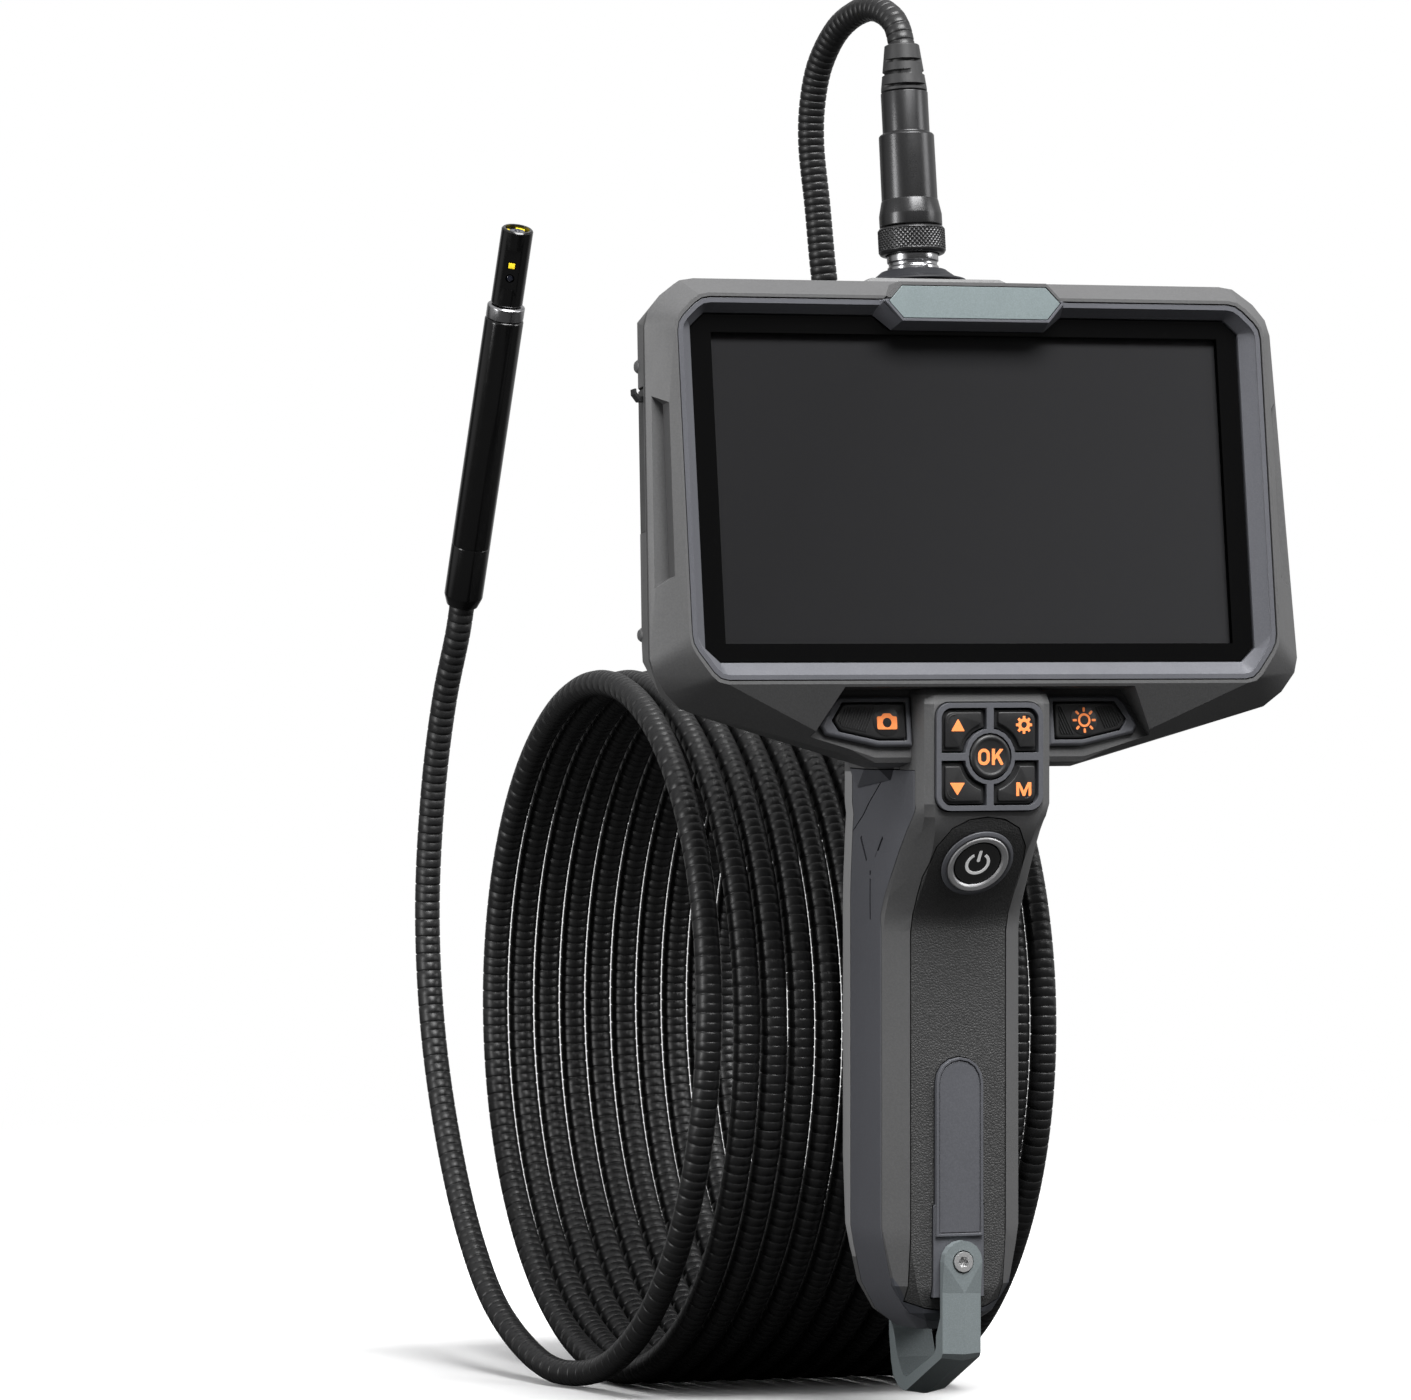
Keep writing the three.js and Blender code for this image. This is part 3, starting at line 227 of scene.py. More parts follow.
def end_cap(shader, side, height):
    """Bottom end of the handle, its edge rising towards the sides."""
    edge = shader.remap(side, 0.0056, 0.0105, start=0.0098, end=0.0128)
    return shader.math("LESS_THAN", height, edge)


def painted_highlight_strips(shader, side, height):
    """Painted highlight: the rounded edges on both sides of the handle, below the head, where the
    rear case is painted light.
    """
    outside = shader.math("GREATER_THAN", side, 0.0139)
    below = shader.math("LESS_THAN", height, 0.1105)
    return shader.math("MULTIPLY", outside, below)


def leather(name, color):
    """Fine pebbled leather: small shallow cells over irregular creases."""
    shader = new_shader(name)
    cells = shader.voronoi(1750, feature="DISTANCE_TO_EDGE")
    wrinkles = shader.noise(2300, roughness=0.6, distortion=0.8)
    creases = shader.noise(900, roughness=0.6, distortion=1.5)
    pebbles = shader.ramp(cells, (0.0, 0.0), (0.2, 0.8), (0.5, 1.0))
    height = shader.math("ADD", shader.math("MULTIPLY", pebbles, 0.42),
                         shader.math("MULTIPLY", wrinkles, 0.45))
    height = shader.math("ADD", height, shader.math("MULTIPLY", creases, 0.25))
    mixed = shader.mix(shader.ramp(height, (0.3, 0.0), (0.95, 1.0)),
                       tint(color, 0.55), tint(color, 1.2))
    drift = shader.math("MULTIPLY", shader.noise(60), 0.3)
    return shader.surface(
        color=shader.mix(drift, mixed, tint(color, 1.4)),
        roughness=shader.remap(height, 0.58, 0.44),
        normal=shader.bump(height, strength=0.9, distance=0.00017), coat_roughness=0.2)


def gloss(name, color, roughness, coat=1.0, coat_roughness=0.05, specular=0.5):
    """Polished surface with light dust and smears."""
    shader = new_shader(name)
    dust = shader.noise(420, detail=5, roughness=0.7)
    smear = shader.noise(55, roughness=0.5, stretch=(1, 1, 0.3))
    mixed = shader.mix(shader.ramp(dust, (0.55, 0.0), (0.8, 0.25)), color, tint(color, 2.0))
    worn = shader.math("ADD", shader.remap(smear, roughness * 0.8, roughness * 1.35),
                       shader.ramp(dust, (0.5, 0.0), (0.9, 0.06)))
    ripple = shader.bump(shader.noise(1800, detail=2), strength=0.04, distance=0.00003)
    return shader.surface(color=mixed, roughness=worn, normal=ripple, coat=coat,
                          coat_roughness=coat_roughness, specular=specular)


def steel(name, color, roughness, relief, brush=(1, 1, 1)):
    """Bare metal; brush stretches its grain."""
    shader = new_shader(name)
    grain = shader.noise(3000, roughness=0.6, stretch=brush)
    drift = shader.noise(90)
    mixed = shader.mix(drift, tint(color, 0.86), tint(color, 1.08))
    mixed = shader.mix(shader.ramp(grain, (0.3, 0.25), (0.7, 0.0)), mixed, tint(color, 0.6))
    worn = shader.math("ADD", shader.remap(grain, roughness - 0.06, roughness + 0.1),
                       shader.remap(drift, -0.02, 0.05))
    return shader.surface(color=mixed, roughness=worn, metallic=1.0,
                          normal=shader.bump(grain, relief, distance=0.00003))


def rubber(name, color, roughness):
    shader = new_shader(name)
    fine = shader.noise(2100, roughness=0.7)
    drift = shader.noise(70)
    mixed = shader.mix(drift, tint(color, 0.8), tint(color, 1.25))
    mixed = shader.mix(shader.ramp(fine, (0.45, 0.0), (0.85, 0.5)), mixed, tint(color, 2.2))
    return shader.surface(
        color=mixed, roughness=shader.remap(shader.noise(300), roughness - 0.08, roughness + 0.1),
        normal=shader.bump(fine, strength=0.25, distance=0.00005),
        coat_roughness=0.2, sheen=0.05)


def lit(material, color, strength):
    """Adds a little emission so that the colour stays bright in shade."""
    inputs = material.node_tree.nodes["Principled BSDF"].inputs
    inputs["Emission Color"].default_value = (*color, 1)
    inputs["Emission Strength"].default_value = strength
    return material


def circuit_board():
    """Green board with a brick pattern of tracks and gold pads."""
    shader = new_shader("board_green")
    pads = shader.voronoi(420, randomness=0.8)
    tracks = shader.add("TexBrick", {"Scale": 160, "Vector": shader.coords}).outputs["Fac"]
    mixed = shader.mix(shader.ramp(pads, (0.1, 1.0), (0.2, 0.0)),
                       (0.012, 0.10, 0.035), (0.45, 0.33, 0.1))
    mixed = shader.mix(shader.math("MULTIPLY", tracks, 0.5), mixed, (0.02, 0.16, 0.06))
    return shader.surface(color=mixed, roughness=0.4,
                          normal=shader.bump(tracks, strength=0.2, distance=0.0001))


def display_panel():
    """Dark switched-off panel: a painted sheen, colour that lightens towards +X and darkens
    towards the top, and a fine pixel grid.
    """
    shader = new_shader("display_panel")
    x, _, z = shader.axes()
    across = shader.remap(x, start=-0.056, end=0.056)
    up = shader.remap(z, start=0.134, end=0.198)
    # painted sheen: lighter colour towards +X, darker towards the top
    sheen = shader.math("SUBTRACT", shader.math("MULTIPLY", across, 0.75),
                        shader.math("MULTIPLY", up, 0.25), clamp=True)
    mixed = shader.mix(sheen, (0.027, 0.027, 0.0271), (0.046, 0.046, 0.0462))
    grid = shader.add("TexChecker", {"Scale": 9000, "Vector": shader.coords}).outputs["Fac"]
    mixed = shader.mix(shader.math("MULTIPLY", grid, 0.06), mixed, (0.06, 0.06, 0.062))
    return shader.surface(color=mixed, coat_roughness=0.2, specular=0.06,
                          roughness=shader.remap(shader.noise(30, detail=2), 0.6, 0.7))


def cover_glass():
    """Clear over the display, printed black round it."""
    shader = new_shader("cover_glass")
    head = shader.add("Mapping", {
        "Location": tuple(v * MM for v in HEAD_AT), "Rotation": (-TILT, 0, 0),
        "Vector": shader.coords}, vector_type="TEXTURE").outputs["Vector"]
    x, _, z = shader.axes(head)
    side = shader.math("ABSOLUTE", x, 0.0)
    height = shader.math("ABSOLUTE", z, 0.0)
    half_window = (0.05535, 0.0306)
    inside = shader.math("MULTIPLY", shader.math("LESS_THAN", side, half_window[0]),
                         shader.math("LESS_THAN", height, half_window[1]))
    smear = shader.noise(24, roughness=0.5)
    dust = shader.noise(900, detail=4, roughness=0.7)
    print_color = shader.mix(shader.ramp(dust, (0.6, 0.0), (0.85, 0.3)),
                             (0.0022, 0.0022, 0.0023), (0.01, 0.01, 0.01))
    shader.surface(color=print_color, roughness=shader.remap(smear, 0.06, 0.12),
                   coat_roughness=0.05, specular=0.35)
    clear = shader.add("BsdfTransparent", {"Color": (0.97, 0.97, 0.98)}).outputs[0]
    shine = shader.add("BsdfGlossy", {
        "Roughness": 0.07, "Color": (0.35, 0.35, 0.35)}).outputs[0]
    fresnel = shader.add("Fresnel", {"IOR": 1.18}).outputs[0]
    window = shader.mix_shader(fresnel, clear, shine)
    printed = shader.principled().outputs[0]
    return shader.output(shader.mix_shader(inside, printed, window))


# ---------------------------------------------------------------- materials
BAND = moulded("band_plastic", (0.082, 0.084, 0.094), roughness=0.42, grain=2800)
TRIM = moulded("trim_paint", (0.098, 0.100, 0.112), roughness=0.36, grain=3400, relief=0.14,
               metallic=0.2, flake=0.2)
BADGE = moulded("badge_paint", (0.178, 0.214, 0.219), roughness=0.42, grain=3400, relief=0.10,
                metallic=0.25, flake=0.35)
BAIL = moulded("bail_paint", (0.215, 0.246, 0.253), roughness=0.40, grain=3400, relief=0.14,
               metallic=0.35, flake=0.45)
LEATHER = leather("grip_leather", (0.043, 0.043, 0.043))
KEY = rubber("key_rubber", (0.011, 0.011, 0.0115), roughness=0.45)
SOFT_BLACK = rubber("soft_black", (0.012, 0.012, 0.0125), roughness=0.5)
RING = steel("bright_ring", (0.86, 0.86, 0.87), roughness=0.42, relief=0.10)
MARK = lit(moulded("mark_white", (0.86, 0.86, 0.86), roughness=0.5, grain=2400, relief=0.05),
           (1, 1, 1), strength=0.22)
SCREW = steel("screw_steel", (0.80, 0.80, 0.80), roughness=0.45, relief=0.12)
SOCKET_CHROME = steel("socket_chrome", (0.42, 0.42, 0.43), roughness=0.20, relief=0.03,
                      brush=(1, 1, 8))
BAND_CHROME = steel("band_chrome", (0.42, 0.42, 0.43), roughness=0.22, relief=0.03,
                    brush=(1, 1, 8))
DISC = gloss("gloss_black", (0.006, 0.006, 0.0065), roughness=0.10)
PLUG = moulded("plug_black", (0.042, 0.042, 0.043), roughness=0.28, grain=3600, relief=0.10,
               metallic=0.75, specular=0.6)
COLLAR = moulded("collar_plastic", (0.012, 0.0125, 0.015), roughness=0.55, grain=2800,
                 specular=0.3)
CABLE = moulded("cable_jacket", (0.0125, 0.0125, 0.0128), roughness=0.40, relief=0.05,
                specular=0.42, depth=0.00003)
PROBE_BLACK = gloss("probe_black", (0.0025, 0.0025, 0.0026), roughness=0.16, coat=0.3,
                    coat_roughness=0.12, specular=0.4)
ICON = lit(moulded("icon_orange", (0.93, 0.27, 0.085), roughness=0.7, grain=2400,
                   relief=0.05, specular=0.1), (1.0, 0.29, 0.10), strength=0.26)
LED = lit(gloss("led_yellow", (0.88, 0.68, 0.03), roughness=0.35, coat=0.2),
          (1.0, 0.75, 0.03), strength=0.35)
LENS = gloss("lens_glass", (0.010, 0.012, 0.022), roughness=0.04, coat_roughness=0.02)
CELL = gloss("cell_wrap", (0.04, 0.12, 0.32), roughness=0.3, coat=0.4)
BOARD = circuit_board()
DISPLAY = display_panel()
GLASS = cover_glass()
CASE_FRONT = recolour(
    moulded("case_front", (0.076, 0.076, 0.077), roughness=0.46, grain=2300, relief=0.42),
    (0.055, 0.058, 0.068), end_cap)
# Rear case, with a painted highlight: light grey painted on its rounded side edges below the
# head.
CASE_REAR = recolour(
    moulded("case_rear.001", (0.090, 0.090, 0.091), roughness=0.46, grain=2300, relief=0.42),
    (0.26, 0.26, 0.262), painted_highlight_strips)


# ---------------------------------------------------------------- outlines and solids (mm)
# A part is a pair (vertices, faces).
def piece(name, part, material, body, replaced=None, at=Matrix.Identity(4), sharp=38):
    """Makes the object of a part, hangs it on the empty of its body and hides the CAD node it
    replaces.
    """
    vertices, faces = part
    mesh = bpy.data.meshes.new(name)
    mesh.from_pydata([(at @ Vector(v)) * MM for v in vertices], [], faces)
    edit = bmesh.new()
    edit.from_mesh(mesh)
    bmesh.ops.remove_doubles(edit, verts=edit.verts, dist=2e-6)
    bmesh.ops.dissolve_degenerate(edit, dist=1e-7, edges=edit.edges)
    bmesh.ops.recalc_face_normals(edit, faces=edit.faces)
    edit.to_mesh(mesh)
    edit.free()
    mesh.polygons.foreach_set("use_smooth", [True] * len(mesh.polygons))
    mesh.set_sharp_from_angle(angle=math.radians(sharp))
    obj = bpy.data.objects.new(name, mesh)
    bpy.context.scene.collection.objects.link(obj)
    mesh.materials.append(material)
    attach(obj, body)
    if replaced:
        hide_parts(replaced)


def fillet(outline, radius, steps=3, closed=False):
    """Rounds the corners of an outline; an open one keeps its ends."""
    rounded = []
    count = len(outline)
    for i, point in enumerate(outline):
        before, after = outline[i - 1], outline[(i + 1) % count]
        back = Vector((before[0] - point[0], before[1] - point[1]))
        ahead = Vector((after[0] - point[0], after[1] - point[1]))
        if ((not closed and i in (0, count - 1)) or back.length < 1e-6 or ahead.length < 1e-6
                or abs(back.angle(ahead) - math.pi) < 0.08):
            rounded.append(tuple(point))
            continue
        cut = min(radius, 0.45 * back.length, 0.45 * ahead.length)
        corner = Vector(point)
        start = corner + back.normalized() * cut
        end = corner + ahead.normalized() * cut
        for k in range(steps + 1):
            t = k / steps
            spot = start * (1 - t) ** 2 + corner * 2 * t * (1 - t) + end * t * t
            rounded.append((spot.x, spot.y))
    return rounded


def bridge(first, second):
    """Quads between two closed loops of vertex numbers."""
    count = len(first)
    return [(first[i], first[(i + 1) % count], second[(i + 1) % count], second[i])
            for i in range(count)]


def lathe(profile, segments, radial=None):
    """Turns (radius, z) points about local Z; radial(angle, z, radius) may change the radius."""
    vertices, faces, rows = [], [], []
    closed = (abs(profile[0][0] - profile[-1][0]) < 1e-9
              and abs(profile[0][1] - profile[-1][1]) < 1e-9 and profile[0][0] > 1e-6)
    for radius, z in profile[:-1] if closed else profile:
        if radius < 1e-6:
            rows.append([len(vertices)])
            vertices.append((0, 0, z))
            continue
        rows.append(list(range(len(vertices), len(vertices) + segments)))
        for i in range(segments):
            angle = 2 * math.pi * i / segments
            reach = radial(angle, z, radius) if radial else radius
            vertices.append((reach * math.cos(angle), reach * math.sin(angle), z))
    pairs = list(zip(rows, rows[1:])) + ([(rows[-1], rows[0])] if closed else [])
    for low, high in pairs:
        if len(low) > 1 and len(high) > 1:
            faces += bridge(low, high)
        elif len(high) > 1:
            faces += [(low[0], high[(i + 1) % segments], high[i]) for i in range(segments)]
        elif len(low) > 1:
            faces += [(low[i], low[(i + 1) % segments], high[0]) for i in range(segments)]
    return vertices, faces


ROUND = 96      # segments of the larger turned parts


def turned(profile, corner, steps=2, segments=ROUND):
    """A lathe form with rounded profile corners."""
    return lathe(fillet(profile, corner, steps), segments)


def inset(outline, distance):
    """Moves every side of a counter-clockwise outline inwards."""
    moved = []
    count = len(outline)
    for i in range(count):
        before, here = Vector(outline[i - 1]), Vector(outline[i])
        after = Vector(outline[(i + 1) % count])
        side1, side2 = (here - before).normalized(), (after - here).normalized()
        normal1, normal2 = Vector((-side1.y, side1.x)), Vector((-side2.y, side2.x))
        reach = distance / max(0.35, 1 + normal1.dot(normal2))
        moved.append(tuple(here + (normal1 + normal2) * reach))
    return moved


def ccw(outline):
    """The outline in counter-clockwise order."""
    area = sum(a[0] * b[1] - b[0] * a[1] for a, b in zip(outline, outline[1:] + outline[:1]))
    return list(outline) if area > 0 else list(outline)[::-1]


def plate(outline, top, bottom, edge, steps=1):
    """Solid plate between two heights, its top edge rounded with radius `edge`."""
    outline = ccw(outline)
    rings = [[(x, y, bottom) for x, y in outline]]
    for k in range(steps + 1):
        angle = math.pi / 2 * k / steps
        height = top - edge + edge * math.sin(angle)
        rings.append([(x, y, height) for x, y in inset(outline, edge * (1 - math.cos(angle)))])
    count = len(outline)
    rows = [range(k * count, (k + 1) * count) for k in range(len(rings))]
    faces = [quad for low, high in zip(rows, rows[1:]) for quad in bridge(low, high)]
    faces += [tuple(rows[0])[::-1], tuple(rows[-1])]
    return [p for ring in rings for p in ring], faces


def ring_plate(outer, inner, top, bottom, edge):
    """Plate between two outlines with the same number of points."""
    rings = [(outer, bottom), (outer, top - edge), (inset(outer, edge), top),
             (inset(inner, -edge), top), (inner, top - edge), (inner, bottom)]
    count = len(outer)
    rows = [range(k * count, (k + 1) * count) for k in range(len(rings))]
    faces = [quad for low, high in zip(rows, rows[1:] + rows[:1]) for quad in bridge(low, high)]
    return [(x, y, z) for ring, z in rings for x, y in ring], faces


def join(*parts):
    vertices, faces = [], []
    for part_vertices, part_faces in parts:
        offset = len(vertices)
        vertices += list(part_vertices)
        faces += [tuple(i + offset for i in face) for face in part_faces]
    return vertices, faces


def placed(part, matrix):
    return [tuple(matrix @ Vector(v)) for v in part[0]], part[1]


def shifted(part, x, y, z=0):
    return placed(part, Matrix.Translation((x, y, z)))


def polar(radius, degrees, x=0, y=0):
    angle = math.radians(degrees)
    return x + radius * math.cos(angle), y + radius * math.sin(angle)


def arc(radius, start, end, steps, x=0, y=0):
    return [polar(radius, start + (end - start) * i / steps, x, y) for i in range(steps + 1)]


def arc_band(inner, outer, start, end, steps, x=0, y=0):
    """Outline of a curved stroke."""
    return arc(outer, start, end, steps, x, y) + arc(inner, end, start, steps, x, y)


def round_rect(half_x, half_y, corner, x=0, y=0, steps=6):
    outline = []
    for start, sign_x, sign_y in ((0, 1, 1), (90, -1, 1), (180, -1, -1), (270, 1, -1)):
        outline += arc(corner, start, start + 90, steps,
                       x + sign_x * (half_x - corner), y + sign_y * (half_y - corner))
    return outline


def mirrored(outline, sign_x, sign_y=1):
    return [(x * sign_x, y * sign_y) for x, y in outline]


def clip(polygon, border):
    """Cuts a convex polygon with a counter-clockwise convex border."""
    for i in range(len(border)):
        a, b = border[i], border[(i + 1) % len(border)]
        side = lambda p: (b[0] - a[0]) * (p[1] - a[1]) - (b[1] - a[1]) * (p[0] - a[0])
        kept = []
        for j in range(len(polygon)):
            p, q = polygon[j], polygon[(j + 1) % len(polygon)]
            side_p, side_q = side(p), side(q)
            if side_p >= 0:
                kept.append(p)
            if side_p * side_q < 0:
                t = side_p / (side_p - side_q)
                kept.append((p[0] + (q[0] - p[0]) * t, p[1] + (q[1] - p[1]) * t))
        polygon = kept
        if len(polygon) < 3:
            return []
    return polygon


# ---------------------------------------------------------------- CAD nodes that stay
def smooth_faces():
    """Node group: smooth faces, with edges sharper than 30 degrees kept hard."""
    group = bpy.data.node_groups.new("smooth_faces", "GeometryNodeTree")
    for direction in ("INPUT", "OUTPUT"):
        group.interface.new_socket("Geometry", in_out=direction,
                                   socket_type="NodeSocketGeometry")
    start, end = (group.nodes.new("NodeGroup" + kind) for kind in ("Input", "Output"))
    angle = group.nodes.new("GeometryNodeInputMeshEdgeAngle")
    compare = group.nodes.new("FunctionNodeCompare")
    compare.data_type = "FLOAT"
    compare.operation = "LESS_EQUAL"
    compare.inputs[1].default_value = math.radians(30)
    faces, edges = (group.nodes.new("GeometryNodeSetShadeSmooth") for _ in range(2))
    faces.domain = "FACE"
    edges.domain = "EDGE"
    for source, target in (
            (start.outputs[0], faces.inputs["Geometry"]),
            (faces.outputs[0], edges.inputs["Geometry"]),
            (angle.outputs["Unsigned Angle"], compare.inputs[0]),
            (compare.outputs[0], edges.inputs["Shade Smooth"]),
            (edges.outputs[0], end.inputs[0])):
        group.links.new(source, target)
    return group


SMOOTH = smooth_faces()


def finish_cad(node, material, bevel, segments, angle, smooth):
    """Gives a CAD node its material, broken edges and smooth shading."""
    obj = NODES[node]
    mesh = obj.data
    mesh.materials.clear()
    mesh.materials.append(material)
    if "custom_normal" in mesh.attributes:
        mesh.attributes.remove(mesh.attributes["custom_normal"])
    mesh.polygons.foreach_set("use_smooth", [False] * len(mesh.polygons))
    weld = obj.modifiers.new("weld", "WELD")
    weld.merge_threshold = 1e-6
    flats = obj.modifiers.new("flats", "DECIMATE")
    flats.decimate_type = "DISSOLVE"
    flats.angle_limit = math.radians(0.6)
    if bevel:
        edge = obj.modifiers.new("edge", "BEVEL")
        edge.width = bevel * MM
        edge.segments = segments
        edge.limit_method = "ANGLE"
        edge.angle_limit = math.radians(angle)
        edge.use_clamp_overlap = True
        edge.miter_outer = "MITER_ARC"
    if smooth:
        obj.modifiers.new("smooth", "NODES").node_group = SMOOTH
        weights = obj.modifiers.new("weights", "WEIGHTED_NORMAL")
        weights.keep_sharp = True
        weights.weight = 90


# nodes, material, bevel width (mm), bevel segments, least bevelled angle (degrees), smooth
CAD_FINISH = (
    ("front_housing", CASE_FRONT, 0.35, 3, 18, True),
    ("rear_housing", CASE_REAR, 0.3, 3, 28, True),
    ("side_band", BAND, 0.15, 2, 40, True),
    ("screen_trim", TRIM, 0.22, 3, 28, True),
    ("badge_plate", BADGE, 0.15, 2, 28, True),
    ("screen_glass", GLASS, 0.0, 2, 28, False),
    ("lcd_panel", DISPLAY, 0.1, 2, 28, True),
    ("grip_pad", LEATHER, 0.25, 2, 28, True),
    ("inlay_plate", BAND, 0.3, 3, 28, True),
    ("keypad_frame", BAND, 0.28, 3, 28, True),
    ("key_trim_left key_trim_right", BAND, 0.2, 2, 28, True),
    ("bail", BAIL, 0.4, 3, 32, False),
    ("bail_axle bail_nut", SCREW, 0.12, 2, 28, True),
    ("key_board main_board power_switch", BOARD, 0.08, 2, 28, True),
    ("usb_port card_slot probe_motor motor_shaft", SCREW, 0.08, 2, 28, True),
    ("case_screw_1 case_screw_2 case_screw_3 case_screw_4", SCREW, 0.08, 2, 28, True),
    ("memory_card", KEY, 0.08, 2, 28, True),
    ("battery_pack", CELL, 0.4, 3, 28, True),
    ("port_cover", KEY, 0.15, 3, 28, True),
    ("front_camera side_camera", PLUG, 0.08, 2, 28, True),
    ("probe_head", PROBE_BLACK, 0.1, 2, 40, True),
)
for names, *finish in CAD_FINISH:
    for node_name in names.split():
        finish_cad(node_name, *finish)

# ---------------------------------------------------------------- gooseneck cable
COIL_RADIUS, COIL_PITCH = 71.2, 5.84
COIL_YAW = math.radians(3.2)
COIL_AXIS = np.array([math.cos(COIL_YAW), -math.sin(COIL_YAW), 0.0])
COIL_ACROSS = np.array([math.sin(COIL_YAW), math.cos(COIL_YAW), 0])
COIL_AT = np.array([2.1, 87.6, 56.5])
COIL_END = 2 * math.pi * 12.375         # angle where the lead from the connector joins
COIL_GAP = 0.12                         # angle between the joining point and its neighbours
PLUG_STATIONS = (79.5, 84, 88.5, 92.4)  # along the connector axis
PROBE_STATIONS = (-6, 1, 7)             # along the probe axis
# (x, y, z): from the connector over and down to the coil
LEAD = [
    (-0.5, 16.9, 260.6), (-1.9, 25.0, 263.9), (-4.2, 34.6, 260.9), (-5.8, 41.0, 253.6),
    (-6.4, 43.6, 245.6), (-6.3, 44.4, 237.4), (-5.4, 43.4, 225.0), (-4.4, 42.0, 209.3),
    (-1.4, 42.2, 192), (5, 45.2, 174), (14, 49.6, 157), (23.4, 52.0, 141), (30.4, 50.3, 127.2)]
# (x, y, z): from the coil up to the probe
TAIL = [
    (-42.2, 96, -14.2), (-42.2, 123, -4.6), (-42, 138.5, 9), (-42, 150.6, 27.9),
    (-42, 160.0, 52), (-42, 163.4, 78), (-42, 160.1, 104), (-42, 153.6, 124)]
SPAN_STEPS = 24                         # samples from one point to the next
JACKET_START = 91.9                     # along the connector axis
PLAIN_LENGTH = 95                       # first stretch, where every groove is a full one
NEAR_PITCH, FAR_PITCH = 1.55, 1.87      # of the beads, before and after that stretch
# (share of the pitch, radius), from the groove over the bead
BEAD = ((0.0, 2.42), (0.08, 2.62), (0.22, 2.67), (0.92, 2.655))
SHUT_RADIUS = 2.665                     # where a slotted groove stays shut
AROUND = 16
CABLE_PARTS = 5


def catmull(points, samples):
    """Centripetal Catmull-Rom through points, at samples in 0..1."""
    count = len(points)
    place = np.asarray(samples) * (count - 1)
    i = np.minimum(np.floor(place).astype(int), count - 2)
    w = (place - i)[:, None]
    points = np.array(points, float)
    padded = np.vstack([2 * points[0] - points[1], points, 2 * points[-1] - points[-2]])
    p0, p1, p2, p3 = (padded[i + k] for k in range(4))

    def knot(a, b):
        return np.maximum(np.sum((a - b) ** 2, 1) ** 0.25, 1e-4)[:, None]

    t0, t1, t2 = knot(p0, p1), knot(p1, p2), knot(p2, p3)
    m1 = ((p1 - p0) / t0 - (p2 - p0) / (t0 + t1) + (p2 - p1) / t1) * t1
    m2 = ((p2 - p1) / t1 - (p3 - p1) / (t1 + t2) + (p3 - p2) / t2) * t1
    return (p1 + m1 * w + (-3 * p1 + 3 * p2 - 2 * m1 - m2) * w ** 2
            + (2 * p1 - 2 * p2 + m1 + m2) * w ** 3)


def coil(angle):
    """Centre of the coil wire; its first half turn is drawn out towards the tail."""
    turns = angle / (2 * math.pi)
    ease = max(0.0, 1 - turns / 0.55)
    along = COIL_PITCH * (turns - 6.5) - 2.9 * ease * ease * (3 - 2 * ease) - 1.2 * ease
    return (COIL_AT + along * COIL_AXIS - math.sin(angle) * COIL_RADIUS * COIL_ACROSS
            + np.array([0, 0, -math.cos(angle) * COIL_RADIUS]))


def cable_points():
    points = [tuple(CONNECTOR @ Vector((0, 0, z))) for z in PLUG_STATIONS]
    points += LEAD + [tuple(coil(COIL_END + COIL_GAP))]
    angle = COIL_END - COIL_GAP
    while angle > 0.10:
        points.append(tuple(coil(angle)))
        angle -= math.pi / 12
    return points + TAIL + [tuple(PROBE @ Vector((0, 0, z))) for z in PROBE_STATIONS]


def bead_stations(start, end):
    """Distance, radius and slot flag of every ring of vertices along the cable.

    Past the plain stretch every other groove shows only as slots on two sides.
    """
    rows = [(0.3, 2.4, 0), (start - 0.01, 2.4, 0)]
    position, bead = start, 0
    plain_end = start + PLAIN_LENGTH
    while position < end:
        pitch = NEAR_PITCH if position < plain_end else FAR_PITCH
        for k, (share, radius) in enumerate(BEAD):
            slotted = bead % 2 and k == 0 and position > plain_end
            rows.append((position + share * pitch, radius, 1 if slotted else 0))
        position += pitch
        bead += 1
    rows.append((end + 0.1, 2.36, 0))
    return (np.array(column) for column in zip(*rows))


control = cable_points()
curve = catmull(control, np.linspace(0, 1, (len(control) - 1) * SPAN_STEPS + 1))
distance = np.concatenate([[0], np.cumsum(np.linalg.norm(np.diff(curve, axis=0), axis=1))])
plug_samples = (len(PLUG_STATIONS) - 1) * SPAN_STEPS
plug_axis = np.array(CONNECTOR.to_3x3() @ Vector((0, 0, 1)))
plug_heights = (curve[:plug_samples] - np.array(CONNECTOR.translation)) @ plug_axis
jacket_from = np.interp(JACKET_START, plug_heights, distance[:plug_samples])
stations, radii, slots = bead_stations(jacket_from, distance[-1] - 0.4)


def on_curve(at):
    return np.stack([np.interp(at, distance, curve[:, k]) for k in range(3)], 1)


REACH = 0.6         # half the length over which the direction is taken
centres = on_curve(stations)
tangents = (on_curve(np.minimum(stations + REACH, distance[-1]))
            - on_curve(np.maximum(stations - REACH, 0)))
tangents /= np.linalg.norm(tangents, axis=1)[:, None]
sideways = COIL_AXIS - tangents * (tangents @ COIL_AXIS)[:, None]
sideways /= np.linalg.norm(sideways, axis=1)[:, None]
upright = np.cross(tangents, sideways)


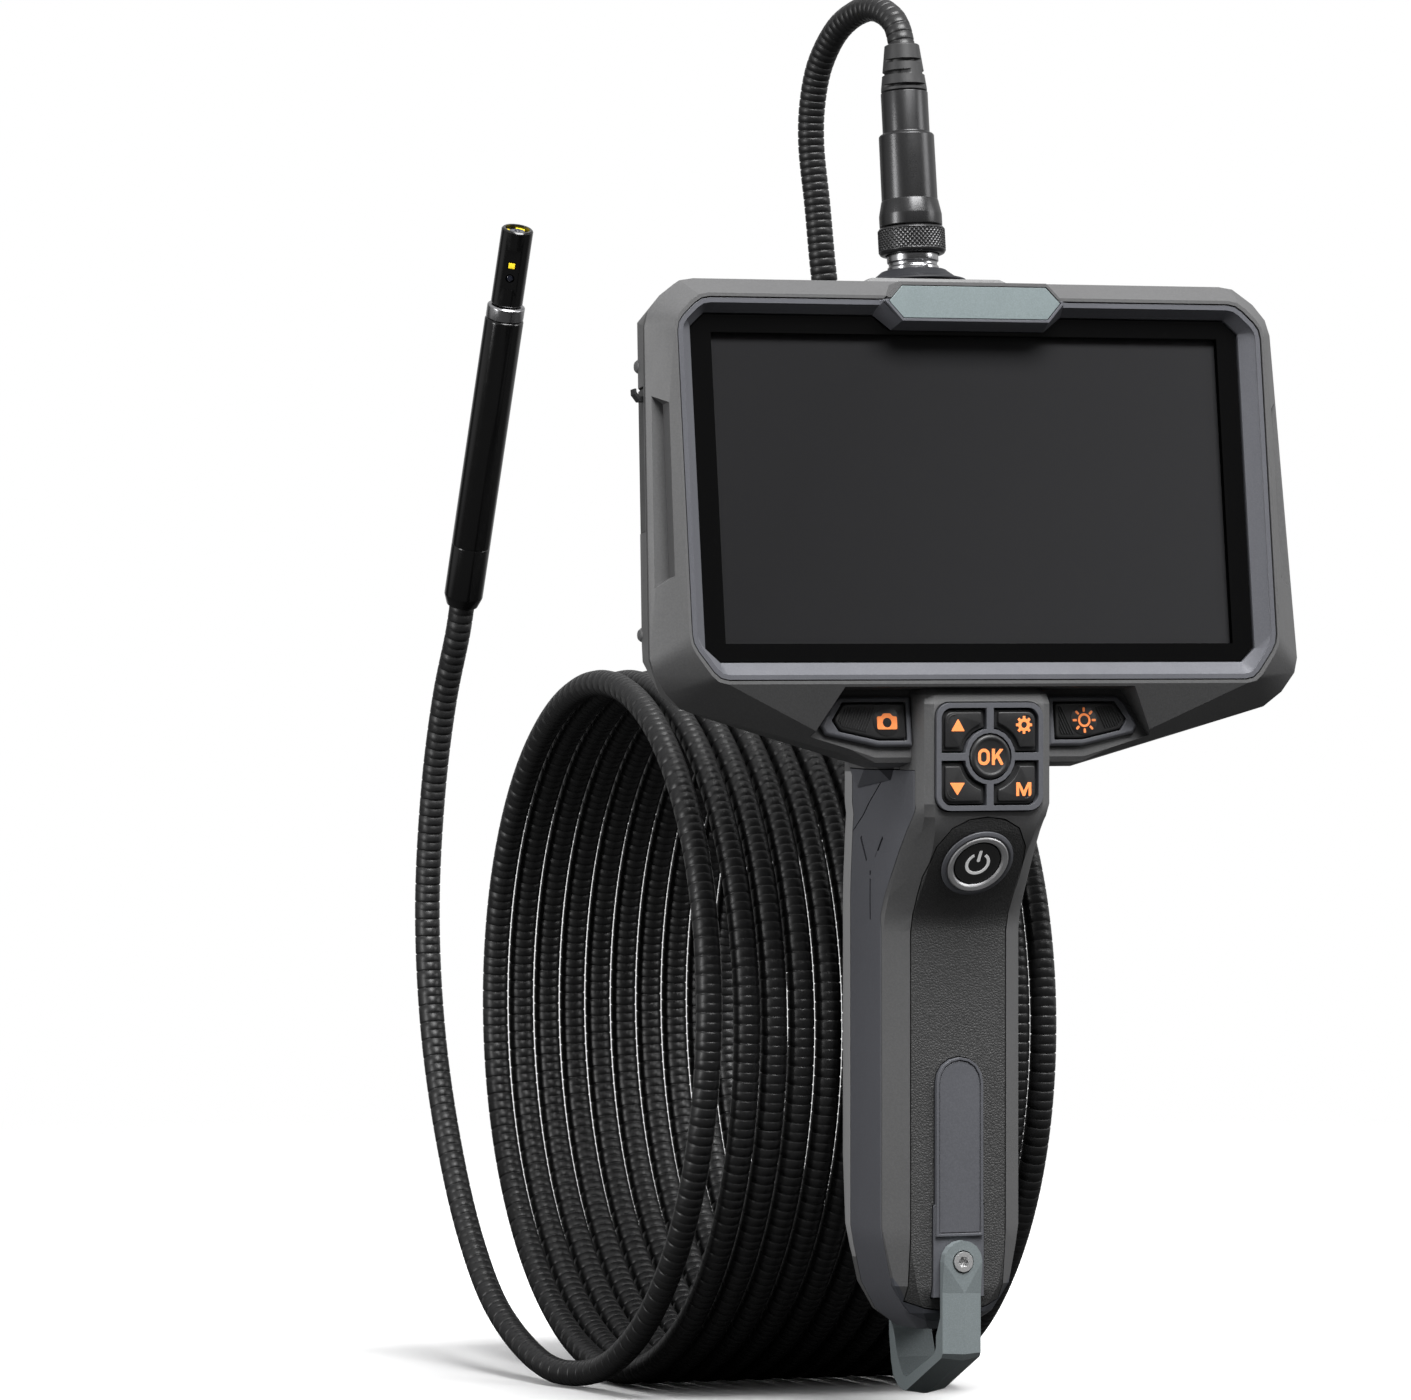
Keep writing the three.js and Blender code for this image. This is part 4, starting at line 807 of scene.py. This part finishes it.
def cable_part(name, first, last, replaced=None):
    """One capped length of the jacket, from station first up to last."""
    rows = last - first
    part = slice(first, last)
    ring = np.arange(AROUND)
    angles = ring * 2 * math.pi / AROUND
    reach = np.repeat(radii[part, None], AROUND, 1)
    shut = np.abs(np.sin(angles))[None, :] < 0.80
    reach = np.where((slots[part, None] == 1) & shut, SHUT_RADIUS, reach)
    cosines, sines = np.cos(angles)[None, :, None], np.sin(angles)[None, :, None]
    vertices = centres[part, None, :] + reach[:, :, None] * (
        cosines * sideways[part, None, :] + sines * upright[part, None, :])
    vertices = vertices.reshape(-1, 3) * MM
    row_start = np.arange(rows - 1)[:, None] * AROUND
    here = row_start + ring[None, :]
    beside = row_start + (ring[None, :] + 1) % AROUND
    quads = np.stack([here, beside, beside + AROUND, here + AROUND], 2).reshape(-1, 4)
    count = len(quads)
    corners = np.concatenate([quads.ravel(), ring[::-1], ring + (rows - 1) * AROUND])
    starts = np.concatenate([np.arange(count) * 4, [count * 4, count * 4 + AROUND]])
    mesh = bpy.data.meshes.new(name)
    mesh.vertices.add(len(vertices))
    mesh.vertices.foreach_set("co", vertices.astype(np.float32).ravel())
    mesh.loops.add(count * 4 + 2 * AROUND)
    mesh.polygons.add(count + 2)
    mesh.loops.foreach_set("vertex_index", corners.astype(np.int32))
    mesh.polygons.foreach_set("loop_start", starts.astype(np.int32))
    mesh.polygons.foreach_set("use_smooth", [True] * count + [False, False])
    mesh.update(calc_edges=True)
    mesh.validate()
    obj = bpy.data.objects.new(name, mesh)
    bpy.context.scene.collection.objects.link(obj)
    mesh.materials.append(CABLE)
    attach(obj, "plug")
    if replaced:
        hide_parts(replaced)


part_rows = int((len(stations) - 2) / CABLE_PARTS / len(BEAD)) * len(BEAD)
cuts = [0, *(2 + k * part_rows for k in range(1, CABLE_PARTS)), len(stations) - 1]
for k in range(CABLE_PARTS):
    cable_part(f"gooseneck_{k + 1}", cuts[k], cuts[k + 1] + 1,
               "insertion_cable" if k == 0 else None)

# ---------------------------------------------------------------- connector and plug
# Profiles are (radius, height along the part's axis).
piece("socket_collar", turned([
    (5.35, 44.2), (10.6, 44.2), (10.55, 44.7), (8.6, 45.3), (7.0, 46.5), (6.5, 46.95),
    (5.35, 46.95), (5.35, 44.2)], corner=0.25, steps=3),
    COLLAR, "case", "connector_collar", CONNECTOR)


def socket():
    """Stepped barrel with four pins and a key pin across it."""
    barrel = turned([
        (0, 38.5), (6.8, 38.5), (6.8, 41.3), (5.15, 41.3), (5.15, 47.75), (4.85, 47.95),
        (4.85, 48.6), (5.15, 48.8), (5.15, 50.3), (4.95, 50.45), (4.95, 50.7), (5.15, 50.85),
        (5.15, 53.1), (3.65, 53.1), (3.65, 44), (0, 44)], corner=0.12)
    pins = []
    for i in range(4):
        pin = turned([(0, 43.4), (0.35, 43.4), (0.35, 48.3), (0, 48.3)], 0.15, segments=16)
        angle = i * math.pi / 2
        pins.append(shifted(pin, 1.5 * math.cos(angle), 1.5 * math.sin(angle)))
    key_pin = placed(
        turned([(0, 4.9), (0.65, 4.9), (0.65, 5.65), (0, 5.65)], 0.15, segments=24),
        Matrix.Translation((0, 0, 47.1)) @ Matrix.Rotation(math.radians(4), 4, "Z") @ FRONT)
    return join(barrel, *pins, key_pin)


piece("socket_barrel", socket(), SOCKET_CHROME, "case", "connector_socket",
      CONNECTOR)
piece("plug_shell", turned([
    (0, 51.3), (2.6, 51.3), (2.6, 46.6), (3.3, 46.6), (3.3, 53.45), (5.1, 53.5), (5.1, 54.2),
    (4.3, 54.3), (4.3, 55.85), (6.2, 55.95), (6.3, 56.1), (6.3, 58.3), (5.72, 61.15),
    (5.62, 61.25), (5.62, 61.4), (5.55, 74.3), (5.25, 74.68), (4.9, 74.75), (4.72, 74.95),
    (4.72, 83.1), (2.9, 83.1), (2.9, 78), (0, 78)], corner=0.1),
    PLUG, "plug", "plug_body", CONNECTOR)

KNURLS = 44
KNURL_FROM, KNURL_TO = 51.05, 55.15
KNURL_PITCH, KNURL_DEPTH = 0.96, 0.26


def knurl(angle, z, radius):
    """Diamond pattern of two crossing sets of grooves."""
    if not (KNURL_FROM < z < KNURL_TO) or radius < 6:
        return radius
    around, along = angle * KNURLS / (2 * math.pi), (z - 51.0) / KNURL_PITCH
    ridge = lambda t: abs((t % 1.0) * 2 - 1)
    height = min(1.0, 1.6 * min(ridge(around + along), ridge(around - along)))
    fade = min(1.0, (z - KNURL_FROM) / 0.15, (KNURL_TO - z) / 0.15)
    return radius - KNURL_DEPTH * (1 - height) * fade


KNURL_PROFILE = (
    [(5.45, 50.3), (6.2, 50.3), (6.45, 50.45), (6.72, 50.9)]
    + [(6.75, 51.0 + i * 0.0875) for i in range(49)]
    + [(6.7, 55.3), (6.45, 55.65), (4.6, 55.65), (4.6, 54.55), (5.45, 54.45), (5.45, 50.3)])
piece("knurled_ring", lathe(KNURL_PROFILE, KNURLS * 8, knurl), PLUG, "ring_nut",
      "coupling_ring", CONNECTOR, sharp=60)

# height, half width, turn (radians) of each row of cuts
RELIEF_CUTS = ((84.3, 0.34, 0.35), (87.0, 0.42, 1.25), (89.4, 0.34, 0.35))


def relief(angle, z, radius):
    """Cuts a pair of opposite slots in each row."""
    if radius < 3.1:
        return radius
    for height, half_width, turn in RELIEF_CUTS:
        off = abs(z - height)
        if off < half_width:
            from_middle = abs((angle + turn) % math.pi - math.pi / 2)
            side = min(1.0, max(0.0, (1.2 - from_middle) / 0.5))
            depth = min(1.0, (half_width - off) / 0.1)
            return max(2.75, radius - 1.15 * side * depth)
    return radius


def relief_radius(z):
    return 4.62 - 0.03 * (z - 83.35) if z < 84.0 else 4.6 - (z - 84.0) * 0.128


RELIEF_PROFILE = (
    [(3.0, 83.35), (4.5, 83.35)]
    + [(relief_radius(z), z) for z in (83.45 + i * 0.1 for i in range(93))]
    + [(3.3, 92.8), (3.0, 92.8), (3.0, 83.35)])
piece("bend_relief", lathe(RELIEF_PROFILE, 144, relief), SOFT_BLACK, "plug",
      "strain_relief", CONNECTOR, sharp=50)

# ---------------------------------------------------------------- probe
PROBE_TUBE = fillet([
    (2.85, 0), (3.3, 0), (4.1, 2.2), (4.1, 13.4), (4.03, 13.5), (4.03, 13.62), (4.1, 13.72),
    (4.1, 64.0), (3.8, 64.4), (3.2, 64.4), (3.2, 30), (0, 30)], 0.12, 2)
PROBE_TUBE += [(0, 8), (2.85, 8), (2.85, 0)]        # the cable's bore, left sharp
piece("probe_tube", lathe(PROBE_TUBE, ROUND), PROBE_BLACK, "plug", "probe_body",
      PROBE)
piece("probe_band", turned([
    (1.0, 64.5), (3.85, 64.5), (3.98, 64.65), (3.98, 67.0), (3.9, 67.15), (3.5, 67.4),
    (1.0, 67.4), (1.0, 64.5)], corner=0.05), BAND_CHROME, "plug", "probe_ring",
    PROBE)


def dome(radius, bottom, top, bulge):
    """Profile of a disc with a domed top."""
    shoulder = top - bulge
    curve = [(radius * math.cos(a), shoulder + bulge * math.sin(a))
             for a in (math.pi / 2 * i / 8 for i in range(1, 8))]
    return [(0, bottom), (radius, bottom), (radius, shoulder)] + curve + [(0, top)]


led_chips = [plate(arc_band(1.72, 2.5, a - 24, a + 24, 10), 83.6, 82.9, edge=0.08, steps=2)
             for a in (185, 78, -22)]
piece("tip_led_ring", join(*led_chips), LED, "probe_tip", "front_led_ring",
      PROBE)
piece("tip_face", turned([
    (0, 82.7), (2.58, 82.7), (2.58, 83.1), (1.7, 83.15), (1.62, 83.62), (1.5, 83.7),
    (0.6, 83.7), (0.5, 83.55), (0, 83.55)], corner=0.06, segments=64),
    LENS, "probe_tip", None, PROBE)
piece("tip_lens", lathe(dome(0.42, 83.3, 83.8, bulge=0.2), 32), LENS, "probe_tip",
      "front_lens", PROBE)
piece("side_lens_dome", placed(lathe(dome(0.7, 2.0, 2.85, bulge=0.2), 40),
                               Matrix.Translation((0, 0, 74.0)) @ FRONT),
      LENS, "probe_tip", "side_lens", PROBE)
piece("side_led_chip", placed(
    plate(round_rect(0.68, 0.62, 0.1), 2.98, 1.8, edge=0.08, steps=2),
    Matrix.Translation((0, 0, 76.8)) @ FRONT), LED, "probe_tip", "side_led",
    PROBE)

# ---------------------------------------------------------------- power button
piece("power_seat", turned([
    (6.2, -1.3), (7.1, -1.3), (7.1, 0.05), (7.6, 0.05), (7.55, 0.3), (6.9, 0.62),
    (6.55, 0.6), (6.45, 0.3), (6.2, 0.2), (6.2, -1.3)], corner=0.06),
    BAND, "case", "power_bezel", POWER)
piece("power_rim", turned([
    (5.05, -1.3), (6.5, -1.3), (6.5, 0.5), (6.2, 0.8), (5.45, 0.62), (5.05, 0.2),
    (5.05, -1.3)], corner=0.10, steps=3), RING, "case", "power_ring", POWER)
piece("power_disc", lathe([
    (0, -3.4), (4.75, -3.4), (4.85, -3.3), (4.85, 0.0), (4.75, 0.2), (4.5, 0.3),
    (3.6, 0.26), (2.0, 0.22), (0, 0.2)], ROUND), DISC, "power_key", "power_button",
    POWER)
power_symbol = [plate(outline, 0.36, 0.1, edge=0.05) for outline in (
    arc_band(2.0, 2.62, 122, 418, 40), round_rect(0.31, 1.35, 0.25, y=1.75))]
piece("power_mark", join(*power_symbol), MARK, "power_key", None, POWER)


# ---------------------------------------------------------------- keypad
# Heights are distances in front of y = 0; outlines are (x, z) about the keypad's centre.
def quarter_key(gap, half_x, half_z, corner, inner):
    """Key outline in the +x +z quarter, cut round the middle key with radius `inner`."""
    cut = math.degrees(math.asin(gap / inner))
    return (arc(inner, 90 - cut, cut, 12) + [(half_x, gap)]
            + arc(corner, 0, 90, 6, half_x - corner, half_z - corner) + [(gap, half_z)])


LOWER_KEY = fillet(quarter_key(gap=1.05, half_x=10.3, half_z=9.3, corner=1.9, inner=5.8),
                   0.35, 2, True)
UPPER_X, UPPER_Z = 9.75, 8.75
UPPER_KEY = fillet(quarter_key(gap=1.85, half_x=UPPER_X, half_z=UPPER_Z, corner=1.5,
                               inner=6.75), 0.3, 2, True)
CORNER_LINE = arc_band(1.38, 1.62, -8, 98, 8, UPPER_X - 2.0, UPPER_Z - 2.0)
for name, body, sign_x, sign_z in (
        ("key_up", "up_key", -1, 1), ("key_settings", "settings_key", 1, 1),
        ("key_down", "down_key", -1, -1), ("key_menu", "menu_key", 1, -1)):
    piece(name + "_cap", join(
        plate(mirrored(LOWER_KEY, sign_x, sign_z), 25.45, 22.05, edge=0.3, steps=3),
        plate(mirrored(UPPER_KEY, sign_x, sign_z), 26.1, 25.2, edge=0.22, steps=3),
        plate(mirrored(CORNER_LINE, sign_x, sign_z), 26.2, 25.9, edge=0.05)),
        KEY, body, name, KEYPAD)

ICON_LAYER = (26.17, 25.95)             # top and bottom
ICON_EDGE = 0.04


def icon(name, body, at, *parts):
    piece(name, join(*parts), ICON, body, at=at)


for name, body, left, base, tip in (
        ("mark_up", "up_key", -8.5, 118.8, 121.3), ("mark_down", "down_key", -8.8, 108.7, 106.2)):
    right = -5.5
    arrow = [(left, base - KEYPAD_Z), (right, base - KEYPAD_Z),
             ((left + right) / 2, tip - KEYPAD_Z)]
    icon(name, body, KEYPAD, plate(fillet(arrow, 0.25, 2, True), *ICON_LAYER, ICON_EDGE))

# radius and angle of the four points of one gear tooth
GEAR_TOOTH = ((1.28, -13), (1.78, -9), (1.78, 9), (1.28, 13))
gear = [polar(radius, i * 45 + a) for i in range(8) for radius, a in GEAR_TOOTH]
gear_hole = [polar(0.62, i * 45 + a) for i in range(8) for a in (-13, -5, 5, 13)]
icon("mark_settings", "settings_key", KEYPAD,
     shifted(ring_plate(gear, gear_hole, *ICON_LAYER, ICON_EDGE), 7.4, 120.0 - KEYPAD_Z))


def letter_m(half_width=1.65, half_height=1.35, stem=0.62):
    w, h = half_width, half_height
    return [(-w, -h), (-w + stem, -h), (-w + stem, h * 0.35), (-0.25, -h), (0.25, -h),
            (w - stem, h * 0.35), (w - stem, -h), (w, -h), (w, h), (w - 0.78, h),
            (0, -h * 0.25), (-w + 0.78, h), (-w, h)]


icon("mark_menu", "menu_key", KEYPAD,
     shifted(plate(letter_m(), *ICON_LAYER, ICON_EDGE), 7.35, 107.35 - KEYPAD_Z))
piece("key_ok_cap", shifted(lathe([
    (0, 0), (4.35, 0), (4.35, 3.75), (4.28, 4.02), (4.05, 4.25), (3.75, 4.35),
    (3.5, 4.3), (3.3, 4.16), (3.1, 4.1), (0, 4.0)], 80), 0, 0, 22.2),
    KEY, "ok_key", "key_ok", KEYPAD)

OK_LAYER = (26.30, 26.08)
OK_Z = 113.75 - KEYPAD_Z
STEM = 0.68
# (x, z) from the left side and middle height of the letter
LETTER_K = [
    (0, -1.6), (STEM, -1.6), (STEM, -0.62), (1.08, -0.18), (1.88, -1.6), (2.72, -1.6),
    (1.55, 0.36), (2.6, 1.6), (1.75, 1.6), (STEM, 0.32), (STEM, 1.6), (0, 1.6)]
letter_o = [round_rect(half_x, half_z, corner, -1.45, OK_Z, steps=8)
            for half_x, half_z, corner in ((1.30, 1.62, 1.2), (0.62, 0.98, 0.58))]
icon("mark_ok", "ok_key", KEYPAD, ring_plate(*letter_o, *OK_LAYER, ICON_EDGE),
     plate([(0.30 + x, OK_Z + z) for x, z in LETTER_K], *OK_LAYER, ICON_EDGE))

# ---------------------------------------------------------------- side keys
# Drawn (x, z) in the head's frame for +x; heights are in front of its origin.
SIDE_KEY = [(16.4, -42.1), (29.6, -42.1), (31.8, -45.4), (30.6, -47.3), (22.2, -49.1),
            (16.4, -49.1)]
RIB_PITCH, RIB_WIDTH = 0.60, 0.30
RIB_LEAN = 4.2                          # sideways, from the foot to the top of a rib
RIB_FOOT, RIB_TOP = -50.5, -41.0
SPOT_PROFILE = [(0, -2.8), (2.95, -2.8), (2.95, -2.56), (2.8, -2.47), (0, -2.45)]


def key_ribs(field, side, spot_x):
    """Slanting ribs inside the field, left out round the spot under the icon."""
    ribs = []
    for i in range(-4, 34):
        x = 15.5 + i * RIB_PITCH
        rib = mirrored([(x, RIB_FOOT), (x + RIB_WIDTH, RIB_FOOT),
                        (x + RIB_WIDTH - RIB_LEAN, RIB_TOP), (x - RIB_LEAN, RIB_TOP)], side)
        rib = clip(ccw(rib), field)
        if len(rib) < 3:
            continue
        middle = sum(p[0] for p in rib) / len(rib) * side
        width = max(p[0] * side for p in rib) - min(p[0] * side for p in rib)
        if width >= 0.3 and abs(middle - spot_x) >= 3.4:
            ribs.append(plate(rib, -2.42, -2.75, edge=0.08))
    return ribs


for side, name, body, spot_x in (
        (-1, "key_photo", "photo_key", 20.5), (1, "key_light", "light_key", 22.6)):
    outline = ccw(mirrored(SIDE_KEY, side))
    cap = plate(fillet(outline, 0.8, 4, True), -2.62, -6.4, edge=0.4, steps=3)
    ribs = key_ribs(ccw(inset(outline, 0.75)), side, spot_x)
    spot = shifted(lathe(SPOT_PROFILE, 48), spot_x * side, -45.65)
    piece(name + "_cap", join(cap, spot, *ribs), KEY, body, name, HEAD_FRONT)

SIDE_ICON_LAYER = (-2.36, -2.6)
CAMERA_BODY = [(-2.15, -1.55), (2.15, -1.55), (2.15, 1.05), (1.15, 1.05), (0.8, 1.62),
               (-0.8, 1.62), (-1.15, 1.05), (-2.15, 1.05)]
LENS_Y, LENS_RADIUS = -0.2, 0.95        # lens hole of the camera icon
CAMERA_POINTS = 96


def ray_hit(outline, angle, centre_y):
    """Where a ray from (0, centre_y) leaves the outline."""
    reach = 0.5
    dx, dy = math.cos(angle), math.sin(angle)
    for a, b in zip(outline, outline[1:] + outline[:1]):
        edge_x, edge_y = b[0] - a[0], b[1] - a[1]
        cross = dx * edge_y - dy * edge_x
        if abs(cross) < 1e-9:
            continue
        t = (a[0] * edge_y - (a[1] - centre_y) * edge_x) / cross
        share = (a[0] * dy - (a[1] - centre_y) * dx) / cross
        if t > 0 and -1e-9 <= share <= 1 + 1e-9:
            reach = max(reach, t)
    return reach * dx, centre_y + reach * dy


camera_angles = [2 * math.pi * i / CAMERA_POINTS for i in range(CAMERA_POINTS)]
camera_edge = ccw(fillet(CAMERA_BODY, 0.35, 3, True))
camera_outer = [ray_hit(camera_edge, a, LENS_Y) for a in camera_angles]
camera_hole = [(LENS_RADIUS * math.cos(a), LENS_Y + LENS_RADIUS * math.sin(a))
               for a in camera_angles]
icon("mark_photo", "photo_key", HEAD_FRONT, shifted(
    ring_plate(camera_outer, camera_hole, *SIDE_ICON_LAYER, ICON_EDGE), -20.45, -45.7))

SUN_EDGE = 0.03
SUN_RAY = fillet([(-0.24, 1.65), (0.24, 1.65), (0.24, 2.55), (-0.24, 2.55)], 0.2, 3, True)
sun_rays = [placed(plate(SUN_RAY, *SIDE_ICON_LAYER, SUN_EDGE),
                   Matrix.Rotation(math.radians(45 * i), 4, "Z")) for i in range(8)]
sun_circles = [arc(radius, 0, 360 * 31 / 32, 31) for radius in (1.38, 0.92)]
sun = ring_plate(*sun_circles, *SIDE_ICON_LAYER, SUN_EDGE)
icon("mark_light", "light_key", HEAD_FRONT, shifted(join(sun, *sun_rays), 22.65, -45.6))

# ---------------------------------------------------------------- world, lights, floor, camera
CAMERA_AT = Vector((-0.7624, -1.6010, 0.1405))
LOOK = Vector((0.40672, 0.91351, -0.0089)).normalized()
scene = bpy.context.scene
scene.view_settings.view_transform = "Standard"
scene.view_settings.look = "None"

# direction, cosines where the glow starts and is full, level
GLOWS = (
    (LOOK, 0.60, 0.95, 0.6),
    ((-0.9, 0.35, 0.1), 0.85, 0.97, 0.45),
    ((1.0, 0.1, 0.15), 0.86, 0.98, 0.7),
    ((-0.93, -0.37, 0.05), 0.955, 0.985, 0.8),
)


def studio_world():
    """White to the camera; for light, a sky bright above with soft glows."""
    world = bpy.data.worlds.new("studio")
    scene.world = world
    world.use_nodes = True
    world.node_tree.nodes.clear()
    shader = Shader(world, "Generated")
    height = shader.remap(shader.axes()[2], start=-1, end=1)
    light = shader.ramp(height, (0.40, 0.02), (0.62, 0.10), (0.80, (0.42, 0.42, 0.43)),
                        (0.97, 1.0))
    for direction, start, end, level in GLOWS:
        toward = shader.add("VectorMath", {
            0: shader.coords, 1: tuple(Vector(direction).normalized())},
            operation="DOT_PRODUCT").outputs["Value"]
        glow = shader.remap(toward, high=level, start=start, end=end,
                            interpolation_type="SMOOTHSTEP")
        light = shader.mix(1.0, light, glow, blend_type="ADD")
    seen = shader.add("LightPath").outputs["Is Camera Ray"]
    sky = shader.add("Background", {"Color": light, "Strength": 0.8}).outputs[0]
    white = shader.add("Background", {"Color": (1, 1, 1), "Strength": 1.0}).outputs[0]
    shader.add("OutputWorld", {"Surface": shader.mix_shader(seen, sky, white)})


studio_world()


def area_light(name, at, to, size, size_y, power):
    light = bpy.data.lights.new(name, "AREA")
    light.energy = power
    light.size = size
    light.shape = "RECTANGLE"
    light.size_y = size_y
    obj = bpy.data.objects.new(name, light)
    scene.collection.objects.link(obj)
    obj.location = at
    obj.rotation_euler = (Vector(to) - Vector(at)).to_track_quat("-Z", "Y").to_euler()
    obj.visible_camera = False


area_light("key_top", at=(0.1, -0.72, 1.38), to=(0, 0.03, 0.13), size=1.0, size_y=0.8, power=50)
area_light("key_right", at=(1.35, -0.75, 0.75), to=(0, 0, 0.13), size=0.6, size_y=0.6, power=6.5)
area_light("fill_left", at=(-1.5, -0.15, 0.35), to=(0, 0.05, 0.12), size=0.35, size_y=0.9,
           power=12)

FLOOR_AT = (0, 0.05, CAD_BOX[0][2] - 0.0006)
FLOOR_RADIUS, FLOOR_RINGS, FLOOR_SIDES = 1.2, 12, 48


def floor_paper():
    """White paper that fades out at the rim and counts as dark for all but camera rays."""
    shader = new_shader("floor_paper")
    from_centre = shader.add("VectorMath", {0: shader.coords, 1: FLOOR_AT},
                             operation="DISTANCE").outputs["Value"]
    fade = shader.remap(from_centre, start=0.30, end=1.05, interpolation_type="SMOOTHSTEP")
    seen = shader.add("LightPath").outputs["Is Camera Ray"]
    mottle = shader.math("MULTIPLY", shader.noise(300), 0.05)
    shader.surface(
        color=shader.mix(mottle, (0.93, 0.93, 0.93), (0.85, 0.85, 0.85)), roughness=0.8,
        normal=shader.bump(shader.noise(900), strength=0.05, distance=0.0001))
    dark = shader.add("BsdfDiffuse", {"Color": (0.045, 0.045, 0.045)}).outputs[0]
    clear = shader.add("BsdfTransparent").outputs[0]
    paper = shader.mix_shader(seen, dark, shader.principled().outputs[0])
    return shader.output(shader.mix_shader(fade, paper, clear))


def make_floor():
    """Disc of rings round a centre vertex."""
    x, y, z = FLOOR_AT
    vertices = [FLOOR_AT]
    for k in range(1, FLOOR_RINGS + 1):
        radius = FLOOR_RADIUS * k / FLOOR_RINGS
        for i in range(FLOOR_SIDES):
            angle = i * math.pi / (FLOOR_SIDES / 2)
            vertices.append((x + radius * math.cos(angle), y + radius * math.sin(angle), z))
    faces = [(0, 1 + i, 1 + (i + 1) % FLOOR_SIDES) for i in range(FLOOR_SIDES)]
    for k in range(FLOOR_RINGS - 1):
        inner = 1 + k * FLOOR_SIDES
        outer = inner + FLOOR_SIDES
        for i in range(FLOOR_SIDES):
            j = (i + 1) % FLOOR_SIDES
            faces.append((inner + i, outer + i, outer + j, inner + j))
    mesh = bpy.data.meshes.new("floor")
    mesh.from_pydata(vertices, [], faces)
    floor = bpy.data.objects.new("floor", mesh)
    scene.collection.objects.link(floor)
    mesh.materials.append(floor_paper())


make_floor()


def make_camera():
    lens = bpy.data.cameras.new("cam")
    lens.sensor_width = 36
    lens.lens = 227.15
    lens.clip_start = 0.05
    lens.clip_end = 20
    camera = bpy.data.objects.new("cam", lens)
    scene.collection.objects.link(camera)
    z_axis = -LOOK
    x_axis = Vector((0, 0, 1)).cross(z_axis).normalized()
    camera.matrix_world = axes_matrix(x_axis, z_axis.cross(x_axis), z_axis, CAMERA_AT)
    scene.camera = camera


make_camera()
